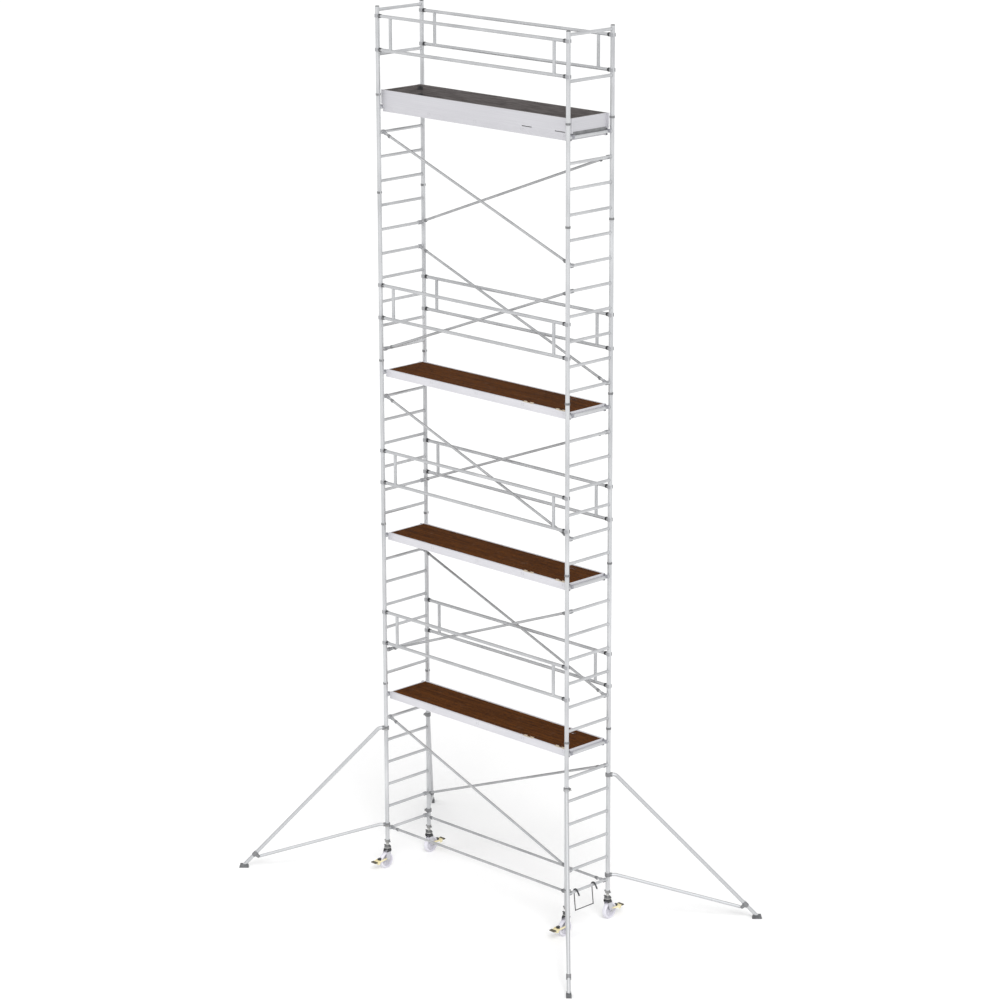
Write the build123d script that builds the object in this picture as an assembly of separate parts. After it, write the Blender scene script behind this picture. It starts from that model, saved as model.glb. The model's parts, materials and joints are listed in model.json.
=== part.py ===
"""Mobile tower scaffold: narrow aluminium rolling tower with four working platforms.

Millimetres. X runs along the platforms, Y across the tower, Z up. The origin is on the
floor under the middle of the tower. Each function builds one sub-part; parts/ gets one
STEP file for each node.
"""

from build123d import *
import math
import os

# ---------------------------------------------------------------- overall
TOWER_LENGTH = 3040.0  # X, between the post axes of the two end frames
TOWER_WIDTH = 700.0  # Y, between the two post axes of an end frame
FRAME_HEIGHT = 2000.0
RUNGS_PER_FRAME = 7
RUNG_PITCH = FRAME_HEIGHT / RUNGS_PER_FRAME
TALL_FRAMES = ("base", "second", "third", "fourth")
SHORT_FRAME_RUNGS = 4
TOP_FRAME_HEIGHT = 1024.0
PLATFORM_RUNGS = (6, 13, 20, 31)

# ---------------------------------------------------------------- tubes
POST_D = 50.0
POST_WALL = 2.4
RUNG_D = 35.0
RUNG_WALL = 2.0
RAIL_D = 38.0
RAIL_WALL = 1.8
BRACE_D = 30.0
BRACE_WALL = 1.8

# ---------------------------------------------------------------- clearances
RUNNING_FIT = 0.05  # radial, pin or shaft in its bore
SLEEVE_FIT = 0.2  # radial, tube pushed into tube
CLIP_GAP = 0.2  # radial, plastic claw round its tube
LIFT_GAP = 0.3  # between faces that move past each other
PANEL_GAP = 3.0  # between plywood edges

# ---------------------------------------------------------------- frame joints
SPIGOT_WALL = 3.0
SPIGOT_HALF = 120.0
CLIP_PIN_D = 8.0
CLIP_PIN_LIFT = 12.0  # above the joint between two frames
CLIP_HEIGHT = 24.0
CLIP_WALL = 4.5
CLIP_MOUTH = 0.6  # of the collar's inner radius, each side
CAP_HEIGHT = 6.0
CAP_PLUG = 20.0
TOP_RAIL_DROPS = (39.0, 548.0)  # cross rails of the top end frame, below its post ends

# ---------------------------------------------------------------- casters
WHEEL_D = 200.0
WHEEL_WIDTH = 50.0
TYRE_DEPTH = 22.0
RIM_WIDTH = 30.0
HUB_D = 42.0
AXLE_D = 12.0
TRAIL = 28.0
FORK_PLATE = 5.0
FORK_SIDE_GAP = 6.0
FORK_SHOULDER = 27.5  # half the plate's width at the crown
FORK_CORNER_R = 6.0
FORK_AXLE_R = 20.0
FORK_PIVOT_R = 13.0
AXLE_HEAD = 7.0
AXLE_HEAD_D = 21.0
RIM_DEPTH = 8.0
WEB_THICK = 10.0
RIB_COUNT = 6
RIB_THICK = 5.0
CROWN_LIFT = 38.0  # from the top of the wheel to the crown plate
CROWN_D = 86.0
CROWN_PLATE = 12.0
RACE_HEIGHT = 12.0
RACE_D = 76.0
HEAD_HEIGHT = 18.0
HEAD_D = 82.0
KINGPIN_D = 20.0
KINGPIN_NUT = 8.0
SPINDLE_D = 38.0
SPINDLE_WALL = 5.0
SPINDLE_LENGTH = 430.0
SPINDLE_SHOWN = 45.0
NUT_HEIGHT = 32.0
NUT_D = 60.0
NUT_SLEEVE = 25.0
NUT_WING = 18.0
NUT_WING_THICK = 12.0
NUT_WING_SET_IN = 6.0  # from the nut's lower face
PEDAL_PIVOT_OUT = 22.0  # beyond the axle
PEDAL_PIVOT_LIFT = 28.0  # above the axle
PEDAL_PIN_D = 8.0
PEDAL_PIN_HEAD = 3.0
PEDAL_PIN_HEAD_D = 13.6
PEDAL_ARM = 4.0
PEDAL_ARM_HEIGHT = 20.0
PEDAL_WHEEL_GAP = 14.0  # from the tyre to the tread plate
PEDAL_PLATE_LENGTH = 59.0
PEDAL_PAD_LENGTH = 42.0
PEDAL_PLATE_THICK = 12.0
PEDAL_PAD_THICK = 16.0
PEDAL_PAD_ROUND = 5.0
PEDAL_LAP = 12.0  # of the tread plate inside its pad
PEDAL_ARM_LAP = 20.0  # of an arm beside the tread plate
PEDAL_DROOP = 10.0  # of the tread below the pivot
SHOE_ANGLE = 28.0
SHOE_WIDTH = 30.0
SHOE_GAP = 1.0
SHOE_LAP = 14.0  # of the shoe on the tread plate

# ---------------------------------------------------------------- platforms
DECK_SIDE_GAP = 25.0  # from a side beam to the inner face of a post
DECK_END_GAP = 5.0  # from the end profile to the rung
DECK_TOP_LIFT = 40.0  # from the rung's axis to the walking surface
BEAM_HEIGHT = 85.0
BEAM_WIDTH = 28.0
BEAM_WALL = 2.5
LEDGE = 24.0
LEDGE_PLATE = 4.0
PLY = 12.0
END_PROFILE = 20.0
END_PROFILE_HEIGHT = 75.0
JOIST_WIDTH = 60.0
JOIST_HEIGHT = 34.0
HOOK_WRAP = 11.0
HATCH_LENGTH = 660.0
HATCH_END_STRIP = 57.5  # plywood left between the hatch and the end profile
HATCH_FRONT_GAP = 10.0  # from the side beam to the lid
HATCH_BACK_GAP = 24.0
HINGE_LENGTH = 150.0
HINGE_LEAF = 2.5
HINGE_LEAF_WIDTH = 24.0
HINGE_PIN_D = 4.0
HINGE_BARREL_D = 8.0
HINGE_SET_IN = 2.0  # of the fixed leaf from the beam's outer face
GRIP_LENGTH = 110.0
GRIP_WIDTH = 34.0
TOE_HEIGHT = 165.0
TOE_THICK = 20.0
TOE_LAP = 28.0  # of a long kick board past the end of the deck

# ---------------------------------------------------------------- rails and braces
RAIL_LIFTS = (672.0, 1060.0)  # above the platform's rung
RAIL_POST_INSET = 215.0
CLAW_WALL = 7.0
CLAW_HEIGHT = 38.0
CLAW_SOCKET = 30.0
CLAW_SOCKET_WALL = 4.2
CLAW_MOUTH = 1.5  # of the claw's inner radius
BRACE_INSET = 65.0  # from the post axis to the brace, along Y
BRACE_CLAW_WIDTH = 34.0
# (rung at the -X end, rung at the +X end)
FRONT_BRACES = ((5, 1), (8, 12), (19, 15), (21, 25), (30, 26), (0, 0))
BACK_BRACES = ((1, 5), (12, 8), (15, 19), (25, 21), (26, 30), (0, 0))

# ---------------------------------------------------------------- outriggers
OUTRIGGER_TUBE_D = 45.0
OUTRIGGER_WALL = 2.2
STRUT_D = 38.0
OUTRIGGER_ARM = 85.0  # from the post axis to the bend
UPPER_COUPLER_LIFT = 157.0  # above rung 4
LOWER_COUPLER_LIFT = 52.0  # above rung 0
COUPLER_HEIGHT = 44.0
COUPLER_WALL = 10.0
COUPLER_EDGE = 2.0
COUPLER_NECK = 14.0  # beyond the ring
COUPLER_NECK_WALL = 4.0
COUPLER_SEAT = 2.0  # from the ring to the tube's end
EAR_THICK = 12.0
EAR_REACH = 16.0
EAR_HEIGHT = 30.0
BEND_RADIUS = 70.0
FOOT_REACH = 1762.0  # from the post axis to the middle of the foot
FOOT_LENGTH = 116.0
FOOT_WIDTH = 62.0
FOOT_HEIGHT = 44.0
FOOT_TAPER = 12.0
FOOT_SOCKET = 24.0  # depth of the tube in the foot
SLIDER_FROM_FOOT = 205.0  # along the tube, from its end to the sliding clamp
SLIDER_LENGTH = 64.0
SLIDER_WALL = 6.0
LUG_DROP = 55.0
LUG_THICK = 8.0
LUG_GAP = 12.0  # between the two lugs, filled by the strut's tongue
LUG_PIVOT_R = 15.0
LUG_CLAMP_R = 26.0
LUG_PIN_LENGTH = 36.0
TONGUE_R = 13.0
TONGUE_LENGTH = 45.0
STRUT_STOP = 16.0  # from the strut tube's end to the lugs' pin
STRUT_ELBOW = 10.0  # further out than the main tube's bend
LUG_ROOM_BEHIND = 20.0
LUG_ROOM = 60.0

# ---------------------------------------------------------------- access stirrup
STIRRUP_ROD_D = 12.0
STIRRUP_WIDTH = 300.0
STIRRUP_MIDDLE_Y = -45.0
STIRRUP_DROP = 245.0
STIRRUP_HOOK_REACH = 62.0
STIRRUP_HOOK_DROP = 45.0
STIRRUP_BEND = 8.0

# ---------------------------------------------------------------- derived places
WHEEL_R = WHEEL_D / 2
CROWN_Z = WHEEL_D + CROWN_LIFT
RACE_Z = CROWN_Z + CROWN_PLATE
HEAD_Z = RACE_Z + RACE_HEIGHT
SPINDLE_Z = HEAD_Z + HEAD_HEIGHT
NUT_Z = SPINDLE_Z + SPINDLE_SHOWN
POST_Z = NUT_Z + NUT_HEIGHT
SHORT_FRAME_Z = POST_Z + len(TALL_FRAMES) * FRAME_HEIGHT
TOP_FRAME_Z = SHORT_FRAME_Z + SHORT_FRAME_RUNGS * RUNG_PITCH
POST_TOP_Z = TOP_FRAME_Z + TOP_FRAME_HEIGHT
END_X = TOWER_LENGTH / 2
SIDE_Y = TOWER_WIDTH / 2
POST_R = POST_D / 2
POST_BORE_R = POST_R - POST_WALL
RUNG_R = RUNG_D / 2
BRACE_Y = SIDE_Y - BRACE_INSET
DECK_END_X = END_X - RUNG_R - DECK_END_GAP
PLY_END_X = DECK_END_X - END_PROFILE
BEAM_Y = SIDE_Y - POST_R - DECK_SIDE_GAP
BEAM_INNER_Y = BEAM_Y - BEAM_WIDTH
HATCH_END = PLY_END_X - HATCH_END_STRIP
HATCH_START = HATCH_END - HATCH_LENGTH
HINGE_Y = -(BEAM_INNER_Y - HINGE_BARREL_D / 2 - LIFT_GAP)
LID_FRONT_Y = -(BEAM_INNER_Y - HATCH_FRONT_GAP)
LID_BACK_Y = BEAM_INNER_Y - HATCH_BACK_GAP
LEDGE_DROP = PLY + LIFT_GAP  # from the walking surface to the ledge's top
PEDAL_PIVOT_Y = TRAIL + PEDAL_PIVOT_OUT
PEDAL_PIVOT_Z = WHEEL_R + PEDAL_PIVOT_LIFT
PEDAL_PLATE_Y = TRAIL + WHEEL_R + PEDAL_WHEEL_GAP
PEDAL_TIP_Y = PEDAL_PLATE_Y + PEDAL_PLATE_LENGTH + PEDAL_PAD_LENGTH

LOW = (Align.CENTER, Align.CENTER, Align.MIN)
CORNERS = {
    "front_left": (-1, -1),
    "front_right": (1, -1),
    "back_left": (-1, 1),
    "back_right": (1, 1),
}


# ---------------------------------------------------------------- helpers
def rung_z(number):
    """Height of a rung's axis; rung 0 is the lowest."""
    return POST_Z + (number + 0.5) * RUNG_PITCH


def box(x, y, z):
    """Block between two limits along each axis."""
    (x0, x1), (y0, y1), (z0, z1) = x, y, z
    return Pos((x0 + x1) / 2, (y0 + y1) / 2, (z0 + z1) / 2) * Box(x1 - x0, y1 - y0, z1 - z0)


def rod(start, end, diameter):
    """Solid round bar from one point to another."""
    start, end = Vector(*start), Vector(*end)
    place = Plane(origin=start, z_dir=end - start).location
    return place * Cylinder(diameter / 2, (end - start).length, align=LOW)


def tube(start, end, diameter, wall):
    """Round tube from one point to another."""
    return rod(start, end, diameter) - rod(start, end, diameter - 2 * wall)


def bent_tube(points, bend, diameter, wall):
    """Round tube along straight runs joined by arcs."""
    path = FilletPolyline(*points, radius=bend)
    first, second = Vector(*points[0]), Vector(*points[1])
    section = Plane(origin=first, z_dir=second - first)
    bore = diameter / 2 - wall
    return sweep(section * (Circle(diameter / 2) - Circle(bore)), path=path)


def bent_rod(points, bend, diameter):
    """Round bar along straight runs joined by arcs."""
    path = FilletPolyline(*points, radius=bend)
    first, second = Vector(*points[0]), Vector(*points[1])
    return sweep(Plane(origin=first, z_dir=second - first) * Circle(diameter / 2), path=path)


def link_plate(rounds, start, thickness, across):
    """Flat plate drawn tight round some circles, from one place to another along X or Y.

    Each circle is (along, height, radius): along Y for a plate across X, and the other way.
    """
    edges = [edge for a, b, r in rounds for edge in (Pos(a, b) * Circle(r)).edges()]
    plate = extrude(make_hull(edges), thickness)
    if across == "X":
        return Plane.YZ.offset(start).location * plate
    return Plane.XZ.offset(-start - thickness).location * plate


def rectangular_tube(x, y, z, wall, along):
    """Box section, open at both ends, running along X or Y."""
    keep = {"X": 0, "Y": 1}[along]
    inner = [
        limits if axis == keep else (limits[0] + wall, limits[1] - wall)
        for axis, limits in enumerate((x, y, z))
    ]
    return box(x, y, z) - box(*inner)


def at_corner(shape, side_x, side_y):
    """Move a shape from the tower's middle to a corner post, without turning it."""
    return Pos(side_x * END_X, side_y * SIDE_Y, 0) * shape


def write(name, solids):
    """Write one node as its separate solids."""
    bodies = [body for shape in solids for body in shape.solids()]
    export_step(Compound(children=bodies, label=name), f"parts/{name}.step")


# ---------------------------------------------------------------- end frames
def clip_hole(x, y, joint_z):
    """Hole across a post for the pin of a locking clip."""
    z = joint_z + CLIP_PIN_LIFT
    return rod((x - POST_D, y, z), (x + POST_D, y, z), CLIP_PIN_D + 2 * RUNNING_FIT)


def post(x, y, low, high):
    """One upright of an end frame; all but the lowest are drilled for a locking clip."""
    upright = tube((x, y, low), (x, y, high), POST_D, POST_WALL)
    return upright if low == POST_Z else upright - clip_hole(x, y, low)


def cross_tube(x, z, diameter, wall):
    """Tube welded between the two posts of a frame, its ends coped to their round faces."""
    bar = tube((x, -SIDE_Y, z), (x, SIDE_Y, z), diameter, wall)
    for y in (-SIDE_Y, SIDE_Y):
        bar -= rod((x, y, z - POST_D), (x, y, z + POST_D), POST_D)
    return max(bar.solids(), key=lambda piece: piece.volume)


def end_frame(x, low, rung_numbers):
    """Ladder frame: two posts and its rungs."""
    high = low + len(rung_numbers) * RUNG_PITCH
    posts = [post(x, y, low, high) for y in (-SIDE_Y, SIDE_Y)]
    return posts + [cross_tube(x, rung_z(n), RUNG_D, RUNG_WALL) for n in rung_numbers]


def top_rail_frame(x):
    """Upper end frame: two posts with two cross rails."""
    posts = [post(x, y, TOP_FRAME_Z, POST_TOP_Z) for y in (-SIDE_Y, SIDE_Y)]
    rails = [cross_tube(x, POST_TOP_Z - drop, RAIL_D, RAIL_WALL) for drop in TOP_RAIL_DROPS]
    return posts + rails


def joint_heights():
    """Heights where one frame stands on the next."""
    lifts = [POST_Z + n * FRAME_HEIGHT for n in range(1, len(TALL_FRAMES) + 1)]
    return lifts + [TOP_FRAME_Z]


def spigot(x, y, joint_z):
    """Inner tube that joins two posts, drilled for the locking clip."""
    diameter = 2 * (POST_BORE_R - SLEEVE_FIT)
    inner = tube((x, y, joint_z - SPIGOT_HALF), (x, y, joint_z + SPIGOT_HALF), diameter, SPIGOT_WALL)
    return inner - clip_hole(x, y, joint_z)


def spigot_clip(x, y, joint_z):
    """Locking clip: a springy collar round the post with a pin through post and spigot."""
    z = joint_z + CLIP_PIN_LIFT
    inner_r = POST_R + CLIP_GAP
    outer_r = inner_r + CLIP_WALL
    side = math.copysign(1, x)
    low = z - CLIP_HEIGHT / 2
    collar = Pos(x, y, low) * Cylinder(outer_r, CLIP_HEIGHT, align=LOW)
    collar -= Pos(x, y, low) * Cylinder(inner_r, CLIP_HEIGHT, align=LOW)
    mouth_y = (y - inner_r * CLIP_MOUTH, y + inner_r * CLIP_MOUTH)
    mouth_x = sorted((x - side * 2 * outer_r, x - side * inner_r * 0.5))
    collar -= box(mouth_x, mouth_y, (low, low + CLIP_HEIGHT))
    pin = rod((x + side * outer_r, y, z), (x - side * (POST_R + CLIP_GAP), y, z), CLIP_PIN_D)
    head = rod((x + side * inner_r, y, z), (x + side * (outer_r + CLIP_WALL), y, z), 2 * CLIP_PIN_D)
    core = Pos(x, y, low) * Cylinder(inner_r, CLIP_HEIGHT, align=LOW)
    return collar + pin + (head - core)


def post_cap(x, y):
    """Plastic cap: a plug in the post's end under a low rounded top."""
    top = Pos(x, y, POST_TOP_Z) * Cylinder(POST_R, CAP_HEIGHT, align=LOW)
    top = fillet(top.edges().sort_by(Axis.Z)[-1], CAP_HEIGHT * 0.7)
    plug = Pos(x, y, POST_TOP_Z - CAP_PLUG) * Cylinder(POST_BORE_R - SLEEVE_FIT, CAP_PLUG, align=LOW)
    return top + plug


# ---------------------------------------------------------------- platforms
def side_beam(side, top_z):
    """Extruded side beam: a box section with an inner ledge for the plywood."""
    outer, inner = side * BEAM_Y, side * BEAM_INNER_Y
    along = (-DECK_END_X, DECK_END_X)
    beam = rectangular_tube(
        along, sorted((outer, inner)), (top_z - BEAM_HEIGHT, top_z), BEAM_WALL, "X"
    )
    ledge_z = top_z - LEDGE_DROP
    ledge_y = sorted((inner, inner - side * LEDGE))
    return beam + box(along, ledge_y, (ledge_z - LEDGE_PLATE, ledge_z))


def end_profile(side, top_z):
    """Cross profile that closes one end of a platform."""
    x = sorted((side * PLY_END_X, side * DECK_END_X))
    y = (-BEAM_INNER_Y, BEAM_INNER_Y)
    profile = rectangular_tube(x, y, (top_z - END_PROFILE_HEIGHT, top_z), BEAM_WALL, "Y")
    return profile - ledge_slots(x, top_z)


def ledge_slots(x, top_z):
    """Room for the two side ledges in whatever crosses them."""
    z = (top_z - LEDGE_DROP - LEDGE_PLATE, top_z - LEDGE_DROP)
    y = BEAM_INNER_Y - LEDGE
    return box(x, (-BEAM_INNER_Y, -y), z) + box(x, (y, BEAM_INNER_Y), z)


def joist(middle_x, top_z):
    """Cross joist under the plywood, hung between the side beams."""
    x = (middle_x - JOIST_WIDTH / 2, middle_x + JOIST_WIDTH / 2)
    y = (-BEAM_INNER_Y, BEAM_INNER_Y)
    high = top_z - LEDGE_DROP
    profile = rectangular_tube(x, y, (high - JOIST_HEIGHT, high), BEAM_WALL, "Y")
    return profile - ledge_slots(x, top_z)


def joist_places():
    """Joists under both edges of the hatch and at even steps along the rest."""
    first, last = HATCH_START, HATCH_END
    spare = first + PLY_END_X
    return [first - spare * 2 / 3, first - spare / 3, first, last]


def deck_hook(side_x, side_y, top_z):
    """Claw at a platform's corner that rests on the rung and reaches over it."""
    rung = top_z - DECK_TOP_LIFT
    reach = RUNG_R + HOOK_WRAP
    x = sorted((side_x * DECK_END_X, side_x * (END_X + reach)))
    y = sorted((side_y * BEAM_Y, side_y * BEAM_INNER_Y))
    claw = box(x, y, (rung - RUNG_R / 2, rung + reach))
    claw -= rod((side_x * END_X, y[0] - 1, rung), (side_x * END_X, y[1] + 1, rung), RUNG_D + 2 * CLIP_GAP)
    return max(claw.solids(), key=lambda piece: piece.volume)


def hinge_middles():
    """X of the two hatch hinges."""
    return (HATCH_START + HINGE_LENGTH / 2, HATCH_END - HINGE_LENGTH / 2)


def hinge_bar(middle, share, top_z, diameter):
    """Round bar on a hinge's axis, a share of the hinge long."""
    half = HINGE_LENGTH * share / 2
    z = top_z + HINGE_BARREL_D / 2
    return rod((middle - half, HINGE_Y, z), (middle + half, HINGE_Y, z), diameter)


def hinge_barrel(middle, share, top_z):
    """Barrel of a hinge before it is bored."""
    return hinge_bar(middle, share, top_z, HINGE_BARREL_D)


def hinge_bore(middle, top_z):
    """Bore for a hinge's pin."""
    return hinge_bar(middle, 1, top_z, HINGE_PIN_D + 2 * RUNNING_FIT)


def fixed_leaf(middle, top_z):
    """Hinge leaf on the side beam, with the two outer knuckles."""
    half = HINGE_LENGTH / 2
    leaf = box((middle - half, middle + half), (-BEAM_Y + HINGE_SET_IN, HINGE_Y), (top_z, top_z + HINGE_LEAF))
    knuckles = hinge_barrel(middle, 1, top_z)
    gap = HINGE_LENGTH / 6 + LIFT_GAP
    space = box(
        (middle - gap, middle + gap),
        (HINGE_Y - HINGE_BARREL_D, HINGE_Y + HINGE_BARREL_D),
        (top_z, top_z + HINGE_BARREL_D),
    )
    return leaf + knuckles - space - hinge_bore(middle, top_z)


def moving_leaf(middle, top_z):
    """Hinge leaf on the lid, with the middle knuckle."""
    half = HINGE_LENGTH / 6 - LIFT_GAP
    leaf = box(
        (middle - HINGE_LENGTH / 2, middle + HINGE_LENGTH / 2),
        (LID_FRONT_Y, LID_FRONT_Y + HINGE_LEAF_WIDTH),
        (top_z, top_z + HINGE_LEAF),
    )
    neck = box((middle - half, middle + half), (HINGE_Y, LID_FRONT_Y), (top_z, top_z + HINGE_LEAF))
    knuckle = hinge_barrel(middle, 2 * half / HINGE_LENGTH, top_z)
    return leaf + neck + knuckle - hinge_bore(middle, top_z)


def hinge_pin(middle, top_z):
    """Pin through the knuckles of one hinge."""
    return hinge_bar(middle, 1, top_z, HINGE_PIN_D)


def platform_frame(top_z):
    """Everything metal that stays with one platform."""
    pieces = [side_beam(side, top_z) for side in (-1, 1)]
    pieces += [end_profile(side, top_z) for side in (-1, 1)]
    pieces += [joist(x, top_z) for x in joist_places()]
    pieces += [deck_hook(sx, sy, top_z) for sx, sy in CORNERS.values()]
    for middle in hinge_middles():
        pieces += [fixed_leaf(middle, top_z), hinge_pin(middle, top_z)]
    return pieces


def platform_panel(top_z):
    """Film-faced plywood on both sides of the hatch."""
    y = (-BEAM_INNER_Y, BEAM_INNER_Y)
    z = (top_z - PLY, top_z)
    long_part = box((-PLY_END_X, HATCH_START - PANEL_GAP), y, z)
    strip = box((HATCH_END + PANEL_GAP, PLY_END_X), y, z)
    return [long_part, strip]


def hatch_trim(top_z):
    """Fixed plywood strips along both sides of the lid."""
    x = (HATCH_START - PANEL_GAP, HATCH_END + PANEL_GAP)
    z = (top_z - PLY, top_z)
    return [box(x, (LID_BACK_Y + PANEL_GAP, BEAM_INNER_Y), z)]


def hatch_lid(top_z):
    """Plywood lid with its grip slot and two hinge leaves."""
    lid = box((HATCH_START, HATCH_END), (LID_FRONT_Y, LID_BACK_Y), (top_z - PLY, top_z))
    middle = (HATCH_START + HATCH_END) / 2
    grip_y = LID_BACK_Y - 2 * GRIP_WIDTH
    slot = Pos(middle, grip_y, top_z - PLY) * extrude(SlotOverall(GRIP_LENGTH, GRIP_WIDTH), PLY)
    return [lid - slot] + [moving_leaf(place, top_z) for place in hinge_middles()]


def toe_boards(top_z):
    """Kick boards round the top platform, notched over the hinges."""
    z = (top_z, top_z + TOE_HEIGHT)
    boards = []
    for side in (-1, 1):
        y = sorted((side * BEAM_Y, side * (BEAM_Y - TOE_THICK)))
        boards.append(box((-DECK_END_X - TOE_LAP, DECK_END_X + TOE_LAP), y, z))
    for middle in hinge_middles():
        half = HINGE_LENGTH / 2 + PANEL_GAP
        notch_z = (top_z, top_z + HINGE_BARREL_D + PANEL_GAP)
        boards[0] -= box((middle - half, middle + half), (-BEAM_Y, BEAM_Y), notch_z)
    for side in (-1, 1):
        x = sorted((side * DECK_END_X, side * (DECK_END_X - TOE_THICK)))
        boards.append(box(x, (-BEAM_Y + TOE_THICK, BEAM_Y - TOE_THICK), z))
    return boards


# ---------------------------------------------------------------- rails and braces
def guard_rail_pair(side_y, rung):
    """Double guard rail: two long tubes joined by two short uprights."""
    y = side_y * SIDE_Y
    end = END_X - POST_R - CLIP_GAP - CLAW_WALL
    low, high = (rung_z(rung) + lift for lift in RAIL_LIFTS)
    rails = [tube((-end, y, z), (end, y, z), RAIL_D, RAIL_WALL) for z in (low, high)]
    for side in (-1, 1):
        x = side * (END_X - RAIL_POST_INSET)
        upright = tube((x, y, low), (x, y, high), RAIL_D, RAIL_WALL)
        for z in (low, high):
            upright -= rod((x - RAIL_D, y, z), (x + RAIL_D, y, z), RAIL_D)
        rails.append(max(upright.solids(), key=lambda piece: piece.volume))
    return rails


def snap_claw(grip_r, height, socket_d):
    """Claw round a tube on Z, open towards -X, with a socket for a tube on +X."""
    inner_r = grip_r + CLIP_GAP
    outer_r = inner_r + CLAW_WALL
    ring = Cylinder(outer_r, height)
    mouth = Pos(-outer_r, 0, 0) * Box(2 * outer_r - inner_r, CLAW_MOUTH * inner_r, height)
    socket = rod((0, 0, 0), (outer_r + CLAW_SOCKET, 0, 0), socket_d + 2 * CLAW_SOCKET_WALL)
    hole = rod((outer_r, 0, 0), (outer_r + CLAW_SOCKET, 0, 0), socket_d)
    return ring - mouth + socket - hole - Cylinder(inner_r, 2 * socket_d)


def rail_claws(rung):
    """The eight claws of one platform's two guard rails."""
    claws = []
    for side_x, side_y in CORNERS.values():
        turn = Rot(0, 0, 180) if side_x > 0 else Rot(0, 0, 0)
        for lift in RAIL_LIFTS:
            place = Pos(side_x * END_X, side_y * SIDE_Y, rung_z(rung) + lift)
            claws.append(place * turn * snap_claw(POST_R, CLAW_HEIGHT, RAIL_D))
    return claws


def brace_line(side_y, rungs):
    """The rung axes that a brace joins: a point over each end frame."""
    left, right = rungs
    y = side_y * BRACE_Y
    return Vector(-END_X, y, rung_z(left)), Vector(END_X, y, rung_z(right))


def brace(side_y, rungs):
    """Brace tube that ends in a claw at each rung."""
    start, end = brace_line(side_y, rungs)
    step = (end - start).normalized() * (RUNG_R + CLIP_GAP + CLAW_WALL)
    return tube(tuple(start + step), tuple(end - step), BRACE_D, BRACE_WALL)


def brace_claws(side_y, rungs):
    """The two claws of a brace, each round its rung."""
    start, end = brace_line(side_y, rungs)
    slope = math.degrees(math.atan2(end.Z - start.Z, end.X - start.X))
    claw = Rot(90, 0, 0) * snap_claw(RUNG_R, BRACE_CLAW_WIDTH, BRACE_D)
    near = Pos(*start) * Rot(0, -slope, 0) * claw
    far = Pos(*end) * Rot(0, -slope, 0) * Rot(0, 180, 0) * claw
    return [near, far]


# ---------------------------------------------------------------- casters
def caster_spindle():
    """Threaded spindle with its head plate, and the king pin that the fork turns on."""
    stem = tube((0, 0, SPINDLE_Z), (0, 0, SPINDLE_Z + SPINDLE_LENGTH), SPINDLE_D, SPINDLE_WALL)
    head = rod((0, 0, HEAD_Z), (0, 0, SPINDLE_Z), HEAD_D)
    head = chamfer(head.edges().sort_by(Axis.Z)[-1], HEAD_HEIGHT / 3)
    kingpin = rod((0, 0, CROWN_Z - KINGPIN_NUT - LIFT_GAP), (0, 0, HEAD_Z), KINGPIN_D)
    nut_high = CROWN_Z - LIFT_GAP
    nut = Pos(0, 0, nut_high - KINGPIN_NUT) * extrude(
        RegularPolygon(KINGPIN_D * 0.85, 6), KINGPIN_NUT
    )
    nut -= rod((0, 0, nut_high - KINGPIN_NUT), (0, 0, nut_high), KINGPIN_D)
    return [stem, head, kingpin, nut]


def fork_half_width():
    """From the wheel's middle to the inner face of a fork plate."""
    return WHEEL_WIDTH / 2 + FORK_SIDE_GAP


def fork_plate(side):
    """Side plate of the fork: from the crown down to the axle and the pedal's pivot."""
    inner = fork_half_width()
    start = inner if side > 0 else -inner - FORK_PLATE
    shoulder_z = CROWN_Z - FORK_CORNER_R
    rounds = [
        (-FORK_SHOULDER, shoulder_z, FORK_CORNER_R),
        (FORK_SHOULDER, shoulder_z, FORK_CORNER_R),
        (TRAIL, WHEEL_R, FORK_AXLE_R),
        (PEDAL_PIVOT_Y, PEDAL_PIVOT_Z, FORK_PIVOT_R),
    ]
    plate = link_plate(rounds, start, FORK_PLATE, "X")
    plate -= rod((start - 1, TRAIL, WHEEL_R), (start + FORK_PLATE + 1, TRAIL, WHEEL_R), AXLE_D)
    pivot = (PEDAL_PIVOT_Y, PEDAL_PIVOT_Z)
    return plate - rod((start - 1, *pivot), (start + FORK_PLATE + 1, *pivot), PEDAL_PIN_D)


def caster_fork():
    """Swivelling fork: crown, ball race, two side plates, axle bolt and pedal pins."""
    bore = KINGPIN_D + 2 * RUNNING_FIT
    crown = rod((0, 0, CROWN_Z), (0, 0, RACE_Z), CROWN_D)
    race = rod((0, 0, RACE_Z), (0, 0, HEAD_Z - LIFT_GAP), RACE_D)
    hole = rod((0, 0, CROWN_Z), (0, 0, HEAD_Z), bore)
    outside = fork_half_width() + FORK_PLATE
    bolt_end = outside + AXLE_HEAD
    axle = rod((-bolt_end, TRAIL, WHEEL_R), (bolt_end, TRAIL, WHEEL_R), AXLE_D)
    for side in (-1, 1):
        start, end = (side * outside, TRAIL, WHEEL_R), (side * bolt_end, TRAIL, WHEEL_R)
        axle += rod(start, end, AXLE_HEAD_D)
    pins = []
    for side in (-1, 1):
        inner = (side * fork_half_width(), PEDAL_PIVOT_Y, PEDAL_PIVOT_Z)
        tip = outside + LIFT_GAP + PEDAL_ARM + LIFT_GAP
        outer = (side * tip, PEDAL_PIVOT_Y, PEDAL_PIVOT_Z)
        end = (side * (tip + PEDAL_PIN_HEAD), PEDAL_PIVOT_Y, PEDAL_PIVOT_Z)
        pins.append(rod(inner, outer, PEDAL_PIN_D) + rod(outer, end, PEDAL_PIN_HEAD_D))
    return [crown - hole, race - hole, fork_plate(-1), fork_plate(1), axle] + pins


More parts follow.
